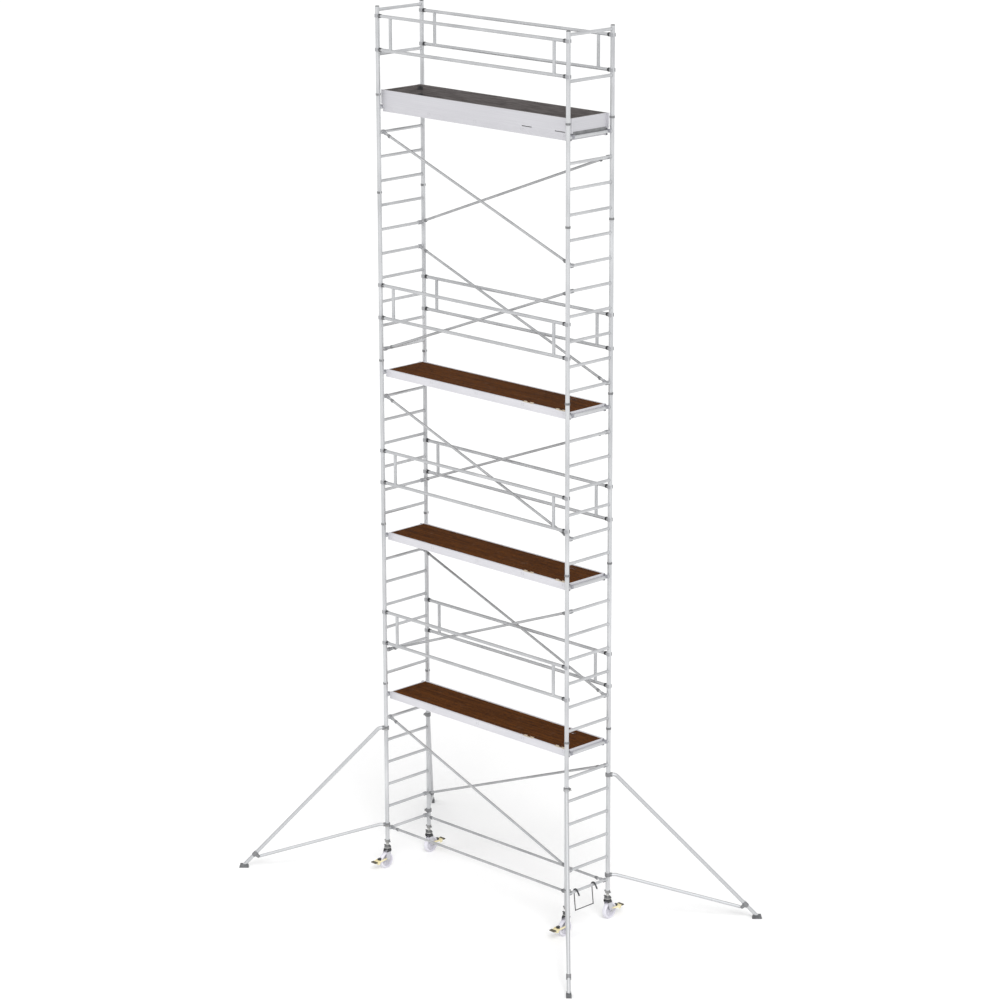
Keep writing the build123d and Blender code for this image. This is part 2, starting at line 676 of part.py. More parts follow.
def caster_wheel():
    """Wheel: rounded tyre on a ribbed rim with a bored hub."""
    half = WHEEL_WIDTH / 2
    tyre_r = WHEEL_R - TYRE_DEPTH
    centre = Plane(origin=(0, TRAIL, WHEEL_R), z_dir=(1, 0, 0))
    tyre = Cylinder(WHEEL_R, WHEEL_WIDTH)
    tyre = fillet(tyre.edges().filter_by(GeomType.CIRCLE), half * 0.5) - Cylinder(tyre_r, WHEEL_WIDTH)
    ring = Cylinder(tyre_r, RIM_WIDTH) - Cylinder(tyre_r - RIM_DEPTH, RIM_WIDTH)
    web_r = tyre_r - RIM_DEPTH / 2
    web = ring + Cylinder(web_r, WEB_THICK)
    hub = Cylinder(HUB_D / 2, WHEEL_WIDTH + FORK_SIDE_GAP)
    rib = Pos(web_r / 2, 0, 0) * Box(web_r, RIB_THICK, RIM_WIDTH * 0.8)
    ribs = [Rot(0, 0, turn * 360 / RIB_COUNT) * rib for turn in range(RIB_COUNT)]
    rim = web + hub + ribs - Cylinder(AXLE_D / 2 + RUNNING_FIT, 2 * WHEEL_WIDTH)
    return [centre.location * tyre, centre.location * rim]


def caster_pedal():
    """Brake pedal: two arms round the wheel, a tread plate, its pad and the brake shoe."""
    inner = fork_half_width() + FORK_PLATE + LIFT_GAP
    outer = inner + PEDAL_ARM
    low = PEDAL_PIVOT_Z - PEDAL_DROOP
    arms = []
    for side in (-1, 1):
        start = inner if side > 0 else -outer
        radius = PEDAL_ARM_HEIGHT / 2
        rounds = [(PEDAL_PIVOT_Y, PEDAL_PIVOT_Z, radius), (PEDAL_PLATE_Y + PEDAL_ARM_LAP, low, radius)]
        arm = link_plate(rounds, start, PEDAL_ARM, "X")
        hole_d = PEDAL_PIN_D + 2 * RUNNING_FIT
        pivot = (PEDAL_PIVOT_Y, PEDAL_PIVOT_Z)
        arms.append(arm - rod((start - 1, *pivot), (start + PEDAL_ARM + 1, *pivot), hole_d))
    pad_y = PEDAL_TIP_Y - PEDAL_PAD_LENGTH
    plate_x = (-inner, inner)
    half_plate, half_pad = PEDAL_PLATE_THICK / 2, PEDAL_PAD_THICK / 2
    plate = box(plate_x, (PEDAL_PLATE_Y, pad_y + PEDAL_LAP), (low - half_plate, low + half_plate))
    pad = box((-outer, outer), (pad_y, PEDAL_TIP_Y), (low - half_pad, low + half_pad))
    pad = fillet(pad.edges().filter_by(Axis.X), PEDAL_PAD_ROUND)
    plate -= pad
    return arms + [plate, pad, brake_shoe(low + half_plate)]


def brake_shoe(plate_top):
    """Block on the tread plate that stands against the tyre."""
    reach = WHEEL_R + SHOE_GAP
    top = WHEEL_R + reach * math.sin(math.radians(SHOE_ANGLE))
    half = SHOE_WIDTH / 2
    shoe = box((-half, half), (TRAIL, PEDAL_PLATE_Y + SHOE_LAP), (plate_top, top))
    wheel = rod((-SHOE_WIDTH, TRAIL, WHEEL_R), (SHOE_WIDTH, TRAIL, WHEEL_R), 2 * reach)
    return max((shoe - wheel).solids(), key=lambda piece: piece.volume)


def turned_caster(solids, side_x, side_y):
    """A caster's solids at a corner, its pedal pointing away from the tower."""
    turn = Rot(0, 0, 0) if side_y > 0 else Rot(0, 0, 180)
    return [at_corner(turn * solid, side_x, side_y) for solid in solids]


def spindle_nut(side_x, side_y):
    """Winged nut under a post, with the sleeve that centres the spindle in it."""
    body = Pos(0, 0, NUT_Z) * Cylinder(NUT_D / 2, NUT_HEIGHT, align=LOW)
    for side in (-1, 1):
        x = sorted((0, side * (NUT_D / 2 + NUT_WING)))
        wing_z = (NUT_Z + NUT_WING_SET_IN, NUT_Z + NUT_HEIGHT * 0.75)
        body += box(x, (-NUT_WING_THICK / 2, NUT_WING_THICK / 2), wing_z)
    body += Pos(0, 0, POST_Z) * Cylinder(POST_BORE_R - SLEEVE_FIT, NUT_SLEEVE, align=LOW)
    bore = SPINDLE_D / 2 + RUNNING_FIT
    body -= Pos(0, 0, NUT_Z) * Cylinder(bore, NUT_HEIGHT + NUT_SLEEVE, align=LOW)
    return at_corner(body, side_x, side_y)


# ---------------------------------------------------------------- outriggers
def outrigger_line():
    """Ends of the main tube's straight run: its bend and its end in the foot (X out, Z up)."""
    bend = Vector(OUTRIGGER_ARM, 0, rung_z(4) + UPPER_COUPLER_LIFT)
    mouth = Vector(FOOT_REACH - FOOT_LENGTH / 8, 0, FOOT_HEIGHT)
    along = (mouth - bend).normalized()
    return bend, mouth + along * FOOT_SOCKET, along


def coupler(z, tube_d):
    """Two-part clamp round the post with a short neck for the outrigger's tube."""
    inner_r = POST_R + RUNNING_FIT
    outer_r = inner_r + COUPLER_WALL
    body = Pos(0, 0, z) * Cylinder(outer_r, COUPLER_HEIGHT)
    body = chamfer(body.edges().filter_by(GeomType.CIRCLE), COUPLER_EDGE)
    neck_end = outer_r + COUPLER_NECK
    neck = rod((0, 0, z), (neck_end, 0, z), tube_d + 2 * COUPLER_NECK_WALL)
    half, rise = EAR_THICK / 2, EAR_HEIGHT / 2
    ears = box((-half, half), (outer_r - COUPLER_WALL / 2, outer_r + EAR_REACH), (z - rise, z + rise))
    seat = rod((outer_r + COUPLER_SEAT, 0, z), (neck_end + COUPLER_NECK, 0, z), tube_d)
    bore = rod((0, 0, z - COUPLER_HEIGHT), (0, 0, z + COUPLER_HEIGHT), 2 * inner_r)
    return body + neck + ears - seat - bore


def slider():
    """Sliding clamp on the main tube with the two lugs that hold the lower strut."""
    _, end, along = outrigger_line()
    middle = end - along * SLIDER_FROM_FOOT
    half = along * (SLIDER_LENGTH / 2)
    down = Vector(along.Z, 0, -along.X)
    pivot = middle + down * LUG_DROP
    outside = OUTRIGGER_TUBE_D + 2 * SLIDER_WALL
    body = rod(tuple(middle - half), tuple(middle + half), outside)
    rounds = [(pivot.X, pivot.Z, LUG_PIVOT_R), (middle.X, middle.Z, LUG_CLAMP_R)]
    for start in (LUG_GAP / 2, -LUG_GAP / 2 - LUG_THICK):
        body += link_plate(rounds, start, LUG_THICK, "Y")
    body -= rod(tuple(middle - half * 3), tuple(middle + half * 3), OUTRIGGER_TUBE_D)
    return body - lug_pin(pivot, 2 * LUG_PIN_LENGTH), pivot


def lug_pin(pivot, length):
    """Bar on the pin's axis through the lugs."""
    return rod((pivot.X, -length / 2, pivot.Z), (pivot.X, length / 2, pivot.Z), AXLE_D)


def outrigger():
    """One outrigger, pointing along +X from a post on the Z axis."""
    bend, end, _ = outrigger_line()
    outer_r = POST_R + RUNNING_FIT + COUPLER_WALL
    main = bent_tube(
        [(outer_r + COUPLER_SEAT, 0, bend.Z), tuple(bend), tuple(end)],
        BEND_RADIUS,
        OUTRIGGER_TUBE_D,
        OUTRIGGER_WALL,
    )
    clamp, pivot = slider()
    low_z = rung_z(0) + LOWER_COUPLER_LIFT
    elbow = Vector(OUTRIGGER_ARM + STRUT_ELBOW, 0, low_z)
    strut_end = pivot - (pivot - elbow).normalized() * STRUT_STOP
    strut = bent_tube(
        [(outer_r + COUPLER_SEAT, 0, low_z), tuple(elbow), tuple(strut_end)],
        BEND_RADIUS,
        STRUT_D,
        OUTRIGGER_WALL,
    )
    strut = max((strut - lug_room(pivot)).solids(), key=lambda piece: piece.volume)
    fittings = [strut_tongue(elbow, pivot), clamp, lug_pin(pivot, LUG_PIN_LENGTH)]
    return [main, strut] + fittings + [coupler(bend.Z, OUTRIGGER_TUBE_D), coupler(low_z, STRUT_D)]


def lug_room(pivot):
    """Space round the lugs that the strut's tube stays out of."""
    x = (pivot.X - LUG_ROOM_BEHIND, pivot.X + LUG_ROOM)
    return box(x, (-STRUT_D, STRUT_D), (pivot.Z - LUG_ROOM, pivot.Z + LUG_ROOM))


def strut_tongue(elbow, pivot):
    """Flat tongue at the strut's end, between the two lugs."""
    back = (elbow - pivot).normalized()
    start = pivot + back * TONGUE_LENGTH
    rounds = [(pivot.X, pivot.Z, TONGUE_R), (start.X, start.Z, TONGUE_R)]
    tongue = link_plate(rounds, -LUG_GAP / 2, LUG_GAP, "Y")
    return tongue - lug_pin(pivot, LUG_PIN_LENGTH)


def outrigger_foot():
    """Rubber foot: a tapering shoe with a socket for the main tube's end."""
    _, end, along = outrigger_line()
    base = Pos(FOOT_REACH, 0, 0) * Rectangle(FOOT_LENGTH, FOOT_WIDTH)
    top = Pos(FOOT_REACH, 0, FOOT_HEIGHT) * Rectangle(
        FOOT_LENGTH - 2 * FOOT_TAPER, FOOT_WIDTH - FOOT_TAPER
    )
    shoe = loft([base, top])
    return shoe - rod(tuple(end - along * FOOT_LENGTH), tuple(end), OUTRIGGER_TUBE_D)


def placed_outrigger(solids, side_x, side_y):
    """An outrigger's solids at a corner, pointing away at 45 degrees."""
    angle = math.degrees(math.atan2(side_y, side_x))
    return [at_corner(Rot(0, 0, angle) * solid, side_x, side_y) for solid in solids]


# ---------------------------------------------------------------- access stirrup
def stirrup():
    """Step that hangs from the lowest +X rung by two hooks."""
    z = rung_z(0)
    over = RUNG_R + RUNNING_FIT + STIRRUP_ROD_D / 2
    pieces = []
    for side in (-1, 1):
        y = STIRRUP_MIDDLE_Y + side * STIRRUP_WIDTH / 2
        hook = [
            (END_X + STIRRUP_HOOK_REACH, y, z - STIRRUP_HOOK_DROP),
            (END_X + over, y, z + over * 0.4),
            (END_X + over * 0.5, y, z + over),
            (END_X - over * 0.5, y, z + over),
            (END_X - over, y, z + over * 0.4),
            (END_X - over, y, z - over),
            (END_X, y, z - STIRRUP_DROP),
        ]
        pieces.append(bent_rod(hook, STIRRUP_BEND, STIRRUP_ROD_D))
    ends = [(END_X, STIRRUP_MIDDLE_Y + side * (STIRRUP_WIDTH - STIRRUP_ROD_D) / 2) for side in (-1, 1)]
    bar_z = z - STIRRUP_DROP + STIRRUP_ROD_D / 2
    pieces.append(rod((*ends[0], bar_z), (*ends[1], bar_z), STIRRUP_ROD_D))
    return pieces


# ---------------------------------------------------------------- all nodes
def build_frames():
    for level, name in enumerate(TALL_FRAMES):
        low = POST_Z + level * FRAME_HEIGHT
        numbers = range(level * RUNGS_PER_FRAME, (level + 1) * RUNGS_PER_FRAME)
        write(f"{name}_frame_left", end_frame(-END_X, low, numbers))
        write(f"{name}_frame_right", end_frame(END_X, low, numbers))
    first = len(TALL_FRAMES) * RUNGS_PER_FRAME
    numbers = range(first, first + SHORT_FRAME_RUNGS)
    write("short_frame_left", end_frame(-END_X, SHORT_FRAME_Z, numbers))
    write("short_frame_right", end_frame(END_X, SHORT_FRAME_Z, numbers))
    write("top_rail_frames", top_rail_frame(-END_X) + top_rail_frame(END_X))
    places = [(x * END_X, y * SIDE_Y) for x, y in CORNERS.values()]
    write("frame_spigots", [spigot(x, y, z) for x, y in places for z in joint_heights()])
    write("spigot_clips", [spigot_clip(x, y, z) for x, y in places for z in joint_heights()])
    write("post_caps", [post_cap(x, y) for x, y in places])


def build_platforms():
    for number, rung in enumerate(PLATFORM_RUNGS, start=1):
        top_z = rung_z(rung) + DECK_TOP_LIFT
        write(f"platform_{number}_frame", platform_frame(top_z))
        write(f"platform_{number}_panel", platform_panel(top_z) + hatch_trim(top_z))
        write(f"platform_{number}_hatch", hatch_lid(top_z))
        write(f"guard_rails_{number}", guard_rail_pair(-1, rung) + guard_rail_pair(1, rung))
    write("toe_boards", toe_boards(rung_z(PLATFORM_RUNGS[-1]) + DECK_TOP_LIFT))


def build_braces():
    write("front_braces", [brace(-1, rungs) for rungs in FRONT_BRACES])
    write("back_braces", [brace(1, rungs) for rungs in BACK_BRACES])
    claws = [claw for rung in PLATFORM_RUNGS for claw in rail_claws(rung)]
    claws += [claw for rungs in FRONT_BRACES for claw in brace_claws(-1, rungs)]
    claws += [claw for rungs in BACK_BRACES for claw in brace_claws(1, rungs)]
    write("snap_claws", claws)


def build_ground_parts():
    casters = {
        "spindle": caster_spindle(),
        "fork": caster_fork(),
        "wheel": caster_wheel(),
        "pedal": caster_pedal(),
    }
    for corner, (side_x, side_y) in CORNERS.items():
        for piece, solids in casters.items():
            write(f"caster_{piece}_{corner}", turned_caster(solids, side_x, side_y))
        write(f"outrigger_{corner}", placed_outrigger(outrigger(), side_x, side_y))
        write(f"outrigger_foot_{corner}", placed_outrigger([outrigger_foot()], side_x, side_y))
    write("spindle_nuts", [spindle_nut(x, y) for x, y in CORNERS.values()])
    write("access_stirrup", stirrup())


os.makedirs("parts", exist_ok=True)
build_frames()
build_platforms()
build_braces()
build_ground_parts()
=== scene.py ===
# %% [markdown]
# # A mobile tower scaffold, cell by cell
# The tower is a stack of welded aluminium ladder frames with four hatch platforms, double guard
# rails, diagonal braces, four outriggers and four braked casters. The solid model fixes every size
# and joint. This lesson dresses it: it gives each tube, board and casting its own finish, and adds
# the small things that a solid model leaves out, such as weld beads, screw threads and rivets.

# %% Load the fixed frame
import json
import math

import bmesh
import bpy
from mathutils import Matrix, Vector


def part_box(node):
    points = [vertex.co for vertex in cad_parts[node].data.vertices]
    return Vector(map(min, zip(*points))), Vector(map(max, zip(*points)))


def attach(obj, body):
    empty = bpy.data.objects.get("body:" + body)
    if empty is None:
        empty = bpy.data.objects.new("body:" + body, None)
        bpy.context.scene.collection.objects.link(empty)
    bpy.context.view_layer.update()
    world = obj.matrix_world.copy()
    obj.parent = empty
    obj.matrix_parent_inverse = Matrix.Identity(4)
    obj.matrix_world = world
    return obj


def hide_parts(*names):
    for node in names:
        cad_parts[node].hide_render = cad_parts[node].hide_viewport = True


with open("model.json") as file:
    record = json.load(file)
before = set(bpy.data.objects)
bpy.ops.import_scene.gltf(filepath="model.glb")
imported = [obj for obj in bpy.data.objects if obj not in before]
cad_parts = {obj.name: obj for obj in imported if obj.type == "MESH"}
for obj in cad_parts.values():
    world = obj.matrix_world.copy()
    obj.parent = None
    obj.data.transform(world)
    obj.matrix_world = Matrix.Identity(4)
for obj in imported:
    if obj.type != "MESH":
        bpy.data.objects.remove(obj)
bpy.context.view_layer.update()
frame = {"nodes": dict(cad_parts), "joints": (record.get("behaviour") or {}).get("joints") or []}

# %% [markdown]
# ## The measures that everything hangs on
# A scaffold is a grid, so a handful of measures places every small piece: where the posts stand,
# how far apart the rungs are, and how high the platforms lie. They are read from the solid model,
# so the pieces follow it if it changes. Corners are named by their signs along X and Y.

# %% Read the grid
joints = {joint["name"]: joint for joint in frame["joints"]}
nodes = frame["nodes"]
CORNERS = {
    "front_left": (-1, -1),
    "front_right": (1, -1),
    "back_left": (-1, 1),
    "back_right": (1, 1),
}
PLATFORMS = (1, 2, 3, 4)

post_place = joints["swing_front_right"]["pos_m"]
END_X, SIDE_Y = abs(post_place[0]), abs(post_place[1])
base_low, base_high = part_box("base_frame_right")
POST_R = (base_high.x - base_low.x) / 2
short_low, short_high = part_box("short_frame_right")
RUNG_PITCH = (short_high.z - short_low.z) / 4
RUNG_R = 0.0175
RUNG_COUNT = 32
POST_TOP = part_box("top_rail_frames")[1].z
deck_top = {n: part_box(f"platform_{n}_panel")[1].z for n in PLATFORMS}


def rung_z(number):
    """Height of a rung's axis; rung 0 is the lowest."""
    return base_low.z + (number + 0.5) * RUNG_PITCH


print("posts at", END_X, SIDE_Y, "rung pitch", round(RUNG_PITCH, 4), "decks", deck_top)

# %% [markdown]
# ## Shader maths that reads like maths
# A finish is a small graph of nodes. Written node by node it is hard to read, so one class wraps a
# socket and answers to the usual signs: each sign adds one Math node. A second class holds a
# material and adds any other node from its type, its settings and its inputs.


# %% A socket that takes part in sums
class Signal:
    """A value somewhere in a material's graph."""

    def __init__(self, finish, socket):
        self.finish = finish
        self.socket = socket

    def maths(self, operation, first, second=None):
        values = {0: first} if second is None else {0: first, 1: second}
        return self.finish.node("ShaderNodeMath", {"operation": operation}, values)

    def __add__(self, other):
        return self.maths("ADD", self, other)

    def __radd__(self, other):
        return self.maths("ADD", other, self)

    def __sub__(self, other):
        return self.maths("SUBTRACT", self, other)

    def __rsub__(self, other):
        return self.maths("SUBTRACT", other, self)

    def __mul__(self, other):
        return self.maths("MULTIPLY", self, other)

    def __rmul__(self, other):
        return self.maths("MULTIPLY", other, self)

    def __mod__(self, other):
        return self.maths("FLOORED_MODULO", self, other)

    def __pow__(self, other):
        return self.maths("POWER", self, other)

    def __lt__(self, other):
        return self.maths("LESS_THAN", self, other)

    def __gt__(self, other):
        return self.maths("GREATER_THAN", self, other)

    def __or__(self, other):
        return self.maths("MAXIMUM", self, other)

    def __abs__(self):
        return self.maths("ABSOLUTE", self)

    def sine(self):
        return self.maths("SINE", self)


print("signs on a socket: + - * % ** < > | abs")

# %% [markdown]
# ## A material that adds its own nodes
# Every finish starts as one Principled shader. A node could be added by hand each time, but one
# method that takes its type, its settings and its sockets keeps a graph to a few lines. The other
# methods are the few patterns that all the finishes share: noise, a range, a mix and a bump.

# %% A material that adds its own nodes
class Finish:
    """One material built round a Principled shader."""

    def __init__(self, name, **uniform):
        self.material = bpy.data.materials.new(name)
        self.material.use_nodes = True
        self.tree = self.material.node_tree
        self.shader = self.tree.nodes["Principled BSDF"]
        for socket, value in uniform.items():
            self.shader.inputs[socket.replace("_", " ")].default_value = value

    def put(self, socket, value):
        """Link a signal into a socket, or set a plain value on it."""
        if isinstance(value, Signal):
            self.tree.links.new(value.socket, socket)
        else:
            socket.default_value = value

    def node(self, kind, settings=None, sockets=None, out=0):
        """Add a node: settings first, then its sockets. Several outputs give several signals."""
        node = self.tree.nodes.new(kind)
        for key, value in (settings or {}).items():
            setattr(node, key, value)
        for key, value in (sockets or {}).items():
            self.put(node.inputs[key], value)
        if isinstance(out, tuple):
            return [Signal(self, node.outputs[key]) for key in out]
        return Signal(self, node.outputs[out])

    def where(self):
        """Place on the piece in metres; it moves with the piece."""
        return self.node("ShaderNodeTexCoord", out="Object")

    def xyz(self):
        """The same place as three separate signals."""
        return self.node("ShaderNodeSeparateXYZ", None, {0: self.where()}, out=(0, 1, 2))

    def grain(self, scale, detail=3.0, shift=(0.0, 0.0, 0.0)):
        """Noise from 0 to 1, with its own scale along each axis."""
        vector = self.node(
            "ShaderNodeMapping", None, {"Vector": self.where(), "Scale": scale, "Location": shift}
        )
        sockets = {"Vector": vector, "Scale": 1.0, "Detail": detail, "Roughness": 0.55}
        return self.node("ShaderNodeTexNoise", None, sockets)

    def spread(self, signal, low, high, new_low=0.0, new_high=1.0):
        """Map a range of a signal to another, clamped at both ends."""
        sockets = {0: signal, 1: low, 2: high, 3: new_low, 4: new_high}
        return self.node("ShaderNodeMapRange", None, sockets)

    def blend(self, factor, first, second):
        """Mix two colours."""
        sockets = {0: factor, 6: first, 7: second}
        return self.node("ShaderNodeMix", {"data_type": "RGBA"}, sockets, out=2)

    def near(self, across, up, point, radius):
        """1 inside a circle drawn round a point, else 0."""
        aside, above = across - point[0], up - point[1]
        return (aside * aside + above * above) < radius**2

    def wear(self, height, distance, strength=1.0):
        """Raise or sink the surface by a height signal, in metres."""
        sockets = {"Height": height, "Distance": distance, "Strength": strength}
        self.put(self.shader.inputs["Normal"], self.node("ShaderNodeBump", None, sockets))

    def set(self, **signals):
        """Feed the shader's own sockets."""
        for socket, value in signals.items():
            self.put(self.shader.inputs[socket.replace("_", " ")], value)
        return self


def tint(red, green, blue):
    """Opaque colour."""
    return (red, green, blue, 1.0)


def shaded(colour, share):
    """A darker or lighter copy of a colour."""
    return tint(*(part * share for part in colour[:3]))


# %% [markdown]
# ## Aluminium tube
# Scaffold tube is extruded and left as it comes: a pale satin grey with fine die lines along its
# length, a cloudy oxide and a little handling wear. A mirror-like metal would look like chrome, so
# the shader is only part metallic and fairly rough. The die lines are noise stretched along the
# tube. A ladder frame has tubes along Y and Z, so a mask picks the stretch for each.


# %% Tube finishes
TUBE_PALE = tint(0.67, 0.678, 0.692)
TUBE_GREY = tint(0.49, 0.498, 0.512)
LONG = 2.5
FINE = 160.0


def tube_finish(name, pale, grey, stretch, metallic=0.55):
    """Satin tube with die lines along one axis: stretch is the noise scale along X, Y and Z."""
    finish = Finish(name, IOR=1.45)
    lines = finish.grain(stretch, 4.0)
    cloud = finish.grain((3.0, 3.0, 3.0), 2.0, (7.0, 1.0, 4.0))
    tone = finish.spread(lines * 0.5 + cloud * 0.5, 0.35, 0.65)
    finish.set(
        Base_Color=finish.blend(tone, grey, pale),
        Roughness=finish.spread(lines, 0.3, 0.7, 0.40, 0.52),
        Metallic=metallic,
    )
    finish.wear(lines, 0.0003, 0.25)
    return finish


def frame_finish():
    """Ladder frame: posts along Z, ribbed rungs along Y."""
    finish = Finish("frame_aluminium", IOR=1.45)
    x, y, z = finish.xyz()
    on_rung = abs(y) < (SIDE_Y - POST_R * 0.9)
    upright_lines = finish.grain((FINE, FINE, LONG), 4.0)
    rung_lines = finish.grain((FINE, LONG, FINE), 4.0)
    lines = upright_lines + (rung_lines - upright_lines) * on_rung
    cloud = finish.grain((2.0, 2.0, 2.0), 2.0, (3.0, 9.0, 2.0))
    tone = finish.spread(lines * 0.5 + cloud * 0.5, 0.35, 0.65)
    rise = ((z - base_low.z) % RUNG_PITCH) - RUNG_PITCH / 2
    reach = abs(x) - END_X
    angle = finish.node("ShaderNodeMath", {"operation": "ARCTAN2"}, {0: rise, 1: reach})
    ribs = finish.spread((angle * 20.0).sine(), -0.2, 0.6) * on_rung
    finish.set(
        Base_Color=finish.blend(tone, TUBE_GREY, TUBE_PALE),
        Roughness=finish.spread(lines, 0.3, 0.7, 0.40, 0.52),
        Metallic=0.55,
    )
    finish.wear(lines * 0.15 + ribs, 0.0005, 0.6)
    return finish


frame_metal = frame_finish()
rail_metal = tube_finish(
    "rail_aluminium", shaded(TUBE_PALE, 0.88), shaded(TUBE_GREY, 0.88), (LONG, FINE, FINE)
)
brace_metal = tube_finish(
    "brace_aluminium", tint(0.52, 0.525, 0.535), tint(0.36, 0.365, 0.375), (LONG, FINE, FINE)
)
print("tube finishes:", [metal.material.name for metal in (frame_metal, rail_metal, brace_metal)])

# %% [markdown]
# ## Castings and fittings that share a tube's node
# The couplers and the sliding clamp of an outrigger are castings, duller and darker than the tube
# between them. They could be separate pieces, but their shape is already right, so a mask tells
# them from the tube: what lies close to the post's axis is a coupler.

# %% Outrigger finish
CAST_GREY = tint(0.27, 0.272, 0.28)
COUPLER_REACH = 0.052
SLIDE = (1.6231, 0.1754)
LUG = (1.5875, 0.1416)


def outrigger_finish():
    """Satin tube with cast couplers at the post."""
    finish = Finish("outrigger_aluminium", IOR=1.45)
    x, y, z = finish.xyz()
    out_x = abs(x) - END_X
    out_y = abs(y) - SIDE_Y
    reach = (out_x * out_x + out_y * out_y) ** 0.5
    coupler = (reach < COUPLER_REACH) | finish.near(reach, z, SLIDE, 0.036)
    coupler = coupler | finish.near(reach, z, LUG, 0.026)
    lines = finish.grain((90.0, 90.0, 14.0), 4.0)
    speckle = finish.grain((900.0, 900.0, 900.0), 2.0)
    tone = finish.spread(lines, 0.0, 1.0)
    tube = finish.blend(tone, shaded(TUBE_GREY, 0.94), shaded(TUBE_PALE, 0.94))
    finish.set(
        Base_Color=finish.blend(coupler, tube, CAST_GREY),
        Roughness=finish.spread(lines, 0.3, 0.7, 0.40, 0.50) + coupler * 0.12,
        Metallic=0.55 + coupler * 0.2,
    )
    finish.wear(lines * 0.1 + speckle * coupler, 0.0004, 0.5)
    return finish


outrigger_metal = outrigger_finish()
print("finish ready:", outrigger_metal.material.name)

# %% [markdown]
# ## Platform profile
# The side beams are wide extrusions with a faint cool tint. Die lines run along X. The same node
# holds the hinge leaves, which lie above the walking surface, and the hooks past the beam's end.
# The hooks are painted dark grey as painted shade, the shadow under the platform's end. The
# leaves are yellow-passivated steel, but plain metal on the top one.


# %% Platform profile finish
PROFILE_GREY, PROFILE_PALE = tint(0.66, 0.655, 0.69), tint(0.72, 0.715, 0.75)
PROFILE_SHADE, TOP_SHADE = 0.96, 0.84
WARM_LEAF, PLAIN_LEAF = tint(0.72, 0.63, 0.50), tint(0.34, 0.34, 0.36)
# The hooks' dark grey is painted shade for the shadow under the platform's end.
HOOK_PAINTED_SHADE = tint(0.33, 0.33, 0.36)
GROOVE_DROPS = (0.030, 0.064)


def platform_finish(number):
    """Extruded profile with warm hinge leaves, and hooks painted dark as shade."""
    finish = Finish(f"platform_profile_{number}", IOR=1.45)
    x, _, z = finish.xyz()
    lines = finish.grain((1.5, FINE, FINE), 5.0)
    cloud = finish.grain((2.0, 6.0, 6.0), 2.0, (number * 3.0, 1.0, 0.0))
    tone = finish.spread(lines * 0.4 + cloud * 0.6, 0.35, 0.65)
    top_one = number == PLATFORMS[-1]
    shade = TOP_SHADE if top_one else PROFILE_SHADE
    leaf = PLAIN_LEAF if top_one else WARM_LEAF
    grey, pale = shaded(PROFILE_GREY, shade), shaded(PROFILE_PALE, shade)
    metal = finish.blend(tone, grey, pale)
    hinge = z > (deck_top[number] + 0.0002)
    # Past the beam's end the colour turns dark grey: painted shade under the platform's end, laid
    # on a real hook.
    hook_with_painted_shade = abs(x) > (END_X - RUNG_R - 0.0048)
    leaves = finish.blend(hinge, metal, leaf)
    finish.set(
        Base_Color=finish.blend(hook_with_painted_shade, leaves, HOOK_PAINTED_SHADE),
        Roughness=finish.spread(lines, 0.3, 0.7, 0.42, 0.54),
        Metallic=0.35 + hinge * 0.4,
    )
    drop = deck_top[number] - z
    upper, lower = (finish.spread(abs(drop - place), 0.0012, 0.0024) for place in GROOVE_DROPS)
    finish.wear(lines * 0.2 + upper * lower, 0.0012, 0.6)
    return finish


platform_metal = {number: platform_finish(number) for number in PLATFORMS}
print("finishes ready:", [metal.material.name for metal in platform_metal.values()])

# %% [markdown]
# ## Film-faced plywood
# Platform boards are birch plywood under a phenolic film. The film is a deep reddish brown, grey on
# the top platform, with fine streaks along the grain. It is pressed with a close wire pattern for
# grip, and scuffed where people walk. Noise stretched along X gives the streaks.


# %% Board finishes
WIRE_PITCH = 0.005


def board_finish(name, dark, light, number):
    """Phenolic film with streaks along X, a pressed wire pattern and scuffs."""
    finish = Finish(name, Specular_IOR_Level=0.03)
    x, y, _ = finish.xyz()
    streaks = finish.grain((9.0, 90.0, 90.0), 6.0, (number * 2.0, 0.0, 0.0))
    flecks = finish.grain((70.0, 120.0, 120.0), 4.0, (1.0, number * 7.0, 0.0))
    bands = finish.grain((1.2, 30.0, 30.0), 3.0, (number * 5.0, 3.0, 0.0))
    scuffs = finish.spread(finish.grain((9.0, 9.0, 9.0), 6.0, (0.0, number * 4.0, 2.0)), 0.60, 0.78)
    tone = finish.spread(streaks * 0.40 + flecks * 0.35 + bands * 0.25, 0.40, 0.60)
    film = finish.blend(tone, dark, light)
    worn = finish.blend(scuffs * 0.12, film, tint(0.30, 0.25, 0.21))
    across = ((x * (2 * math.pi / WIRE_PITCH)).sine()) | ((y * (2 * math.pi / WIRE_PITCH)).sine())
    finish.set(
        Base_Color=worn,
        Roughness=finish.spread(streaks, 0.3, 0.7, 0.60, 0.74) + scuffs * 0.1,
        Metallic=0.0,
    )
    finish.wear(finish.spread(across, 0.6, 1.0) * 0.6 + streaks * 0.4, 0.0003, 0.5)
    return finish


BROWN_DARK, BROWN_LIGHT = tint(0.030, 0.0080, 0.0010), tint(0.125, 0.040, 0.0050)
GREY_DARK, GREY_LIGHT = tint(0.108, 0.097, 0.095), tint(0.200, 0.182, 0.178)
board_film = {
    number: board_finish(f"film_plywood_{number}", BROWN_DARK, BROWN_LIGHT, number)
    for number in PLATFORMS[:-1]
}
board_film[4] = board_finish("film_plywood_4", GREY_DARK, GREY_LIGHT, 4)
print("board finishes:", sorted(film.material.name for film in board_film.values()))


# %% [markdown]
# ## Kick boards
# A kick board is the same grey film on the side where people stand. Outside it is faced with a thin
# extruded profile in the pale tone of the side beams, so from the ground the beam and the board
# read as one band. The outer few millimetres of the board take the profile's finish.

# %% Kick board finish
KICK_FACE = 0.0025
DECK_END = END_X - RUNG_R - 0.005


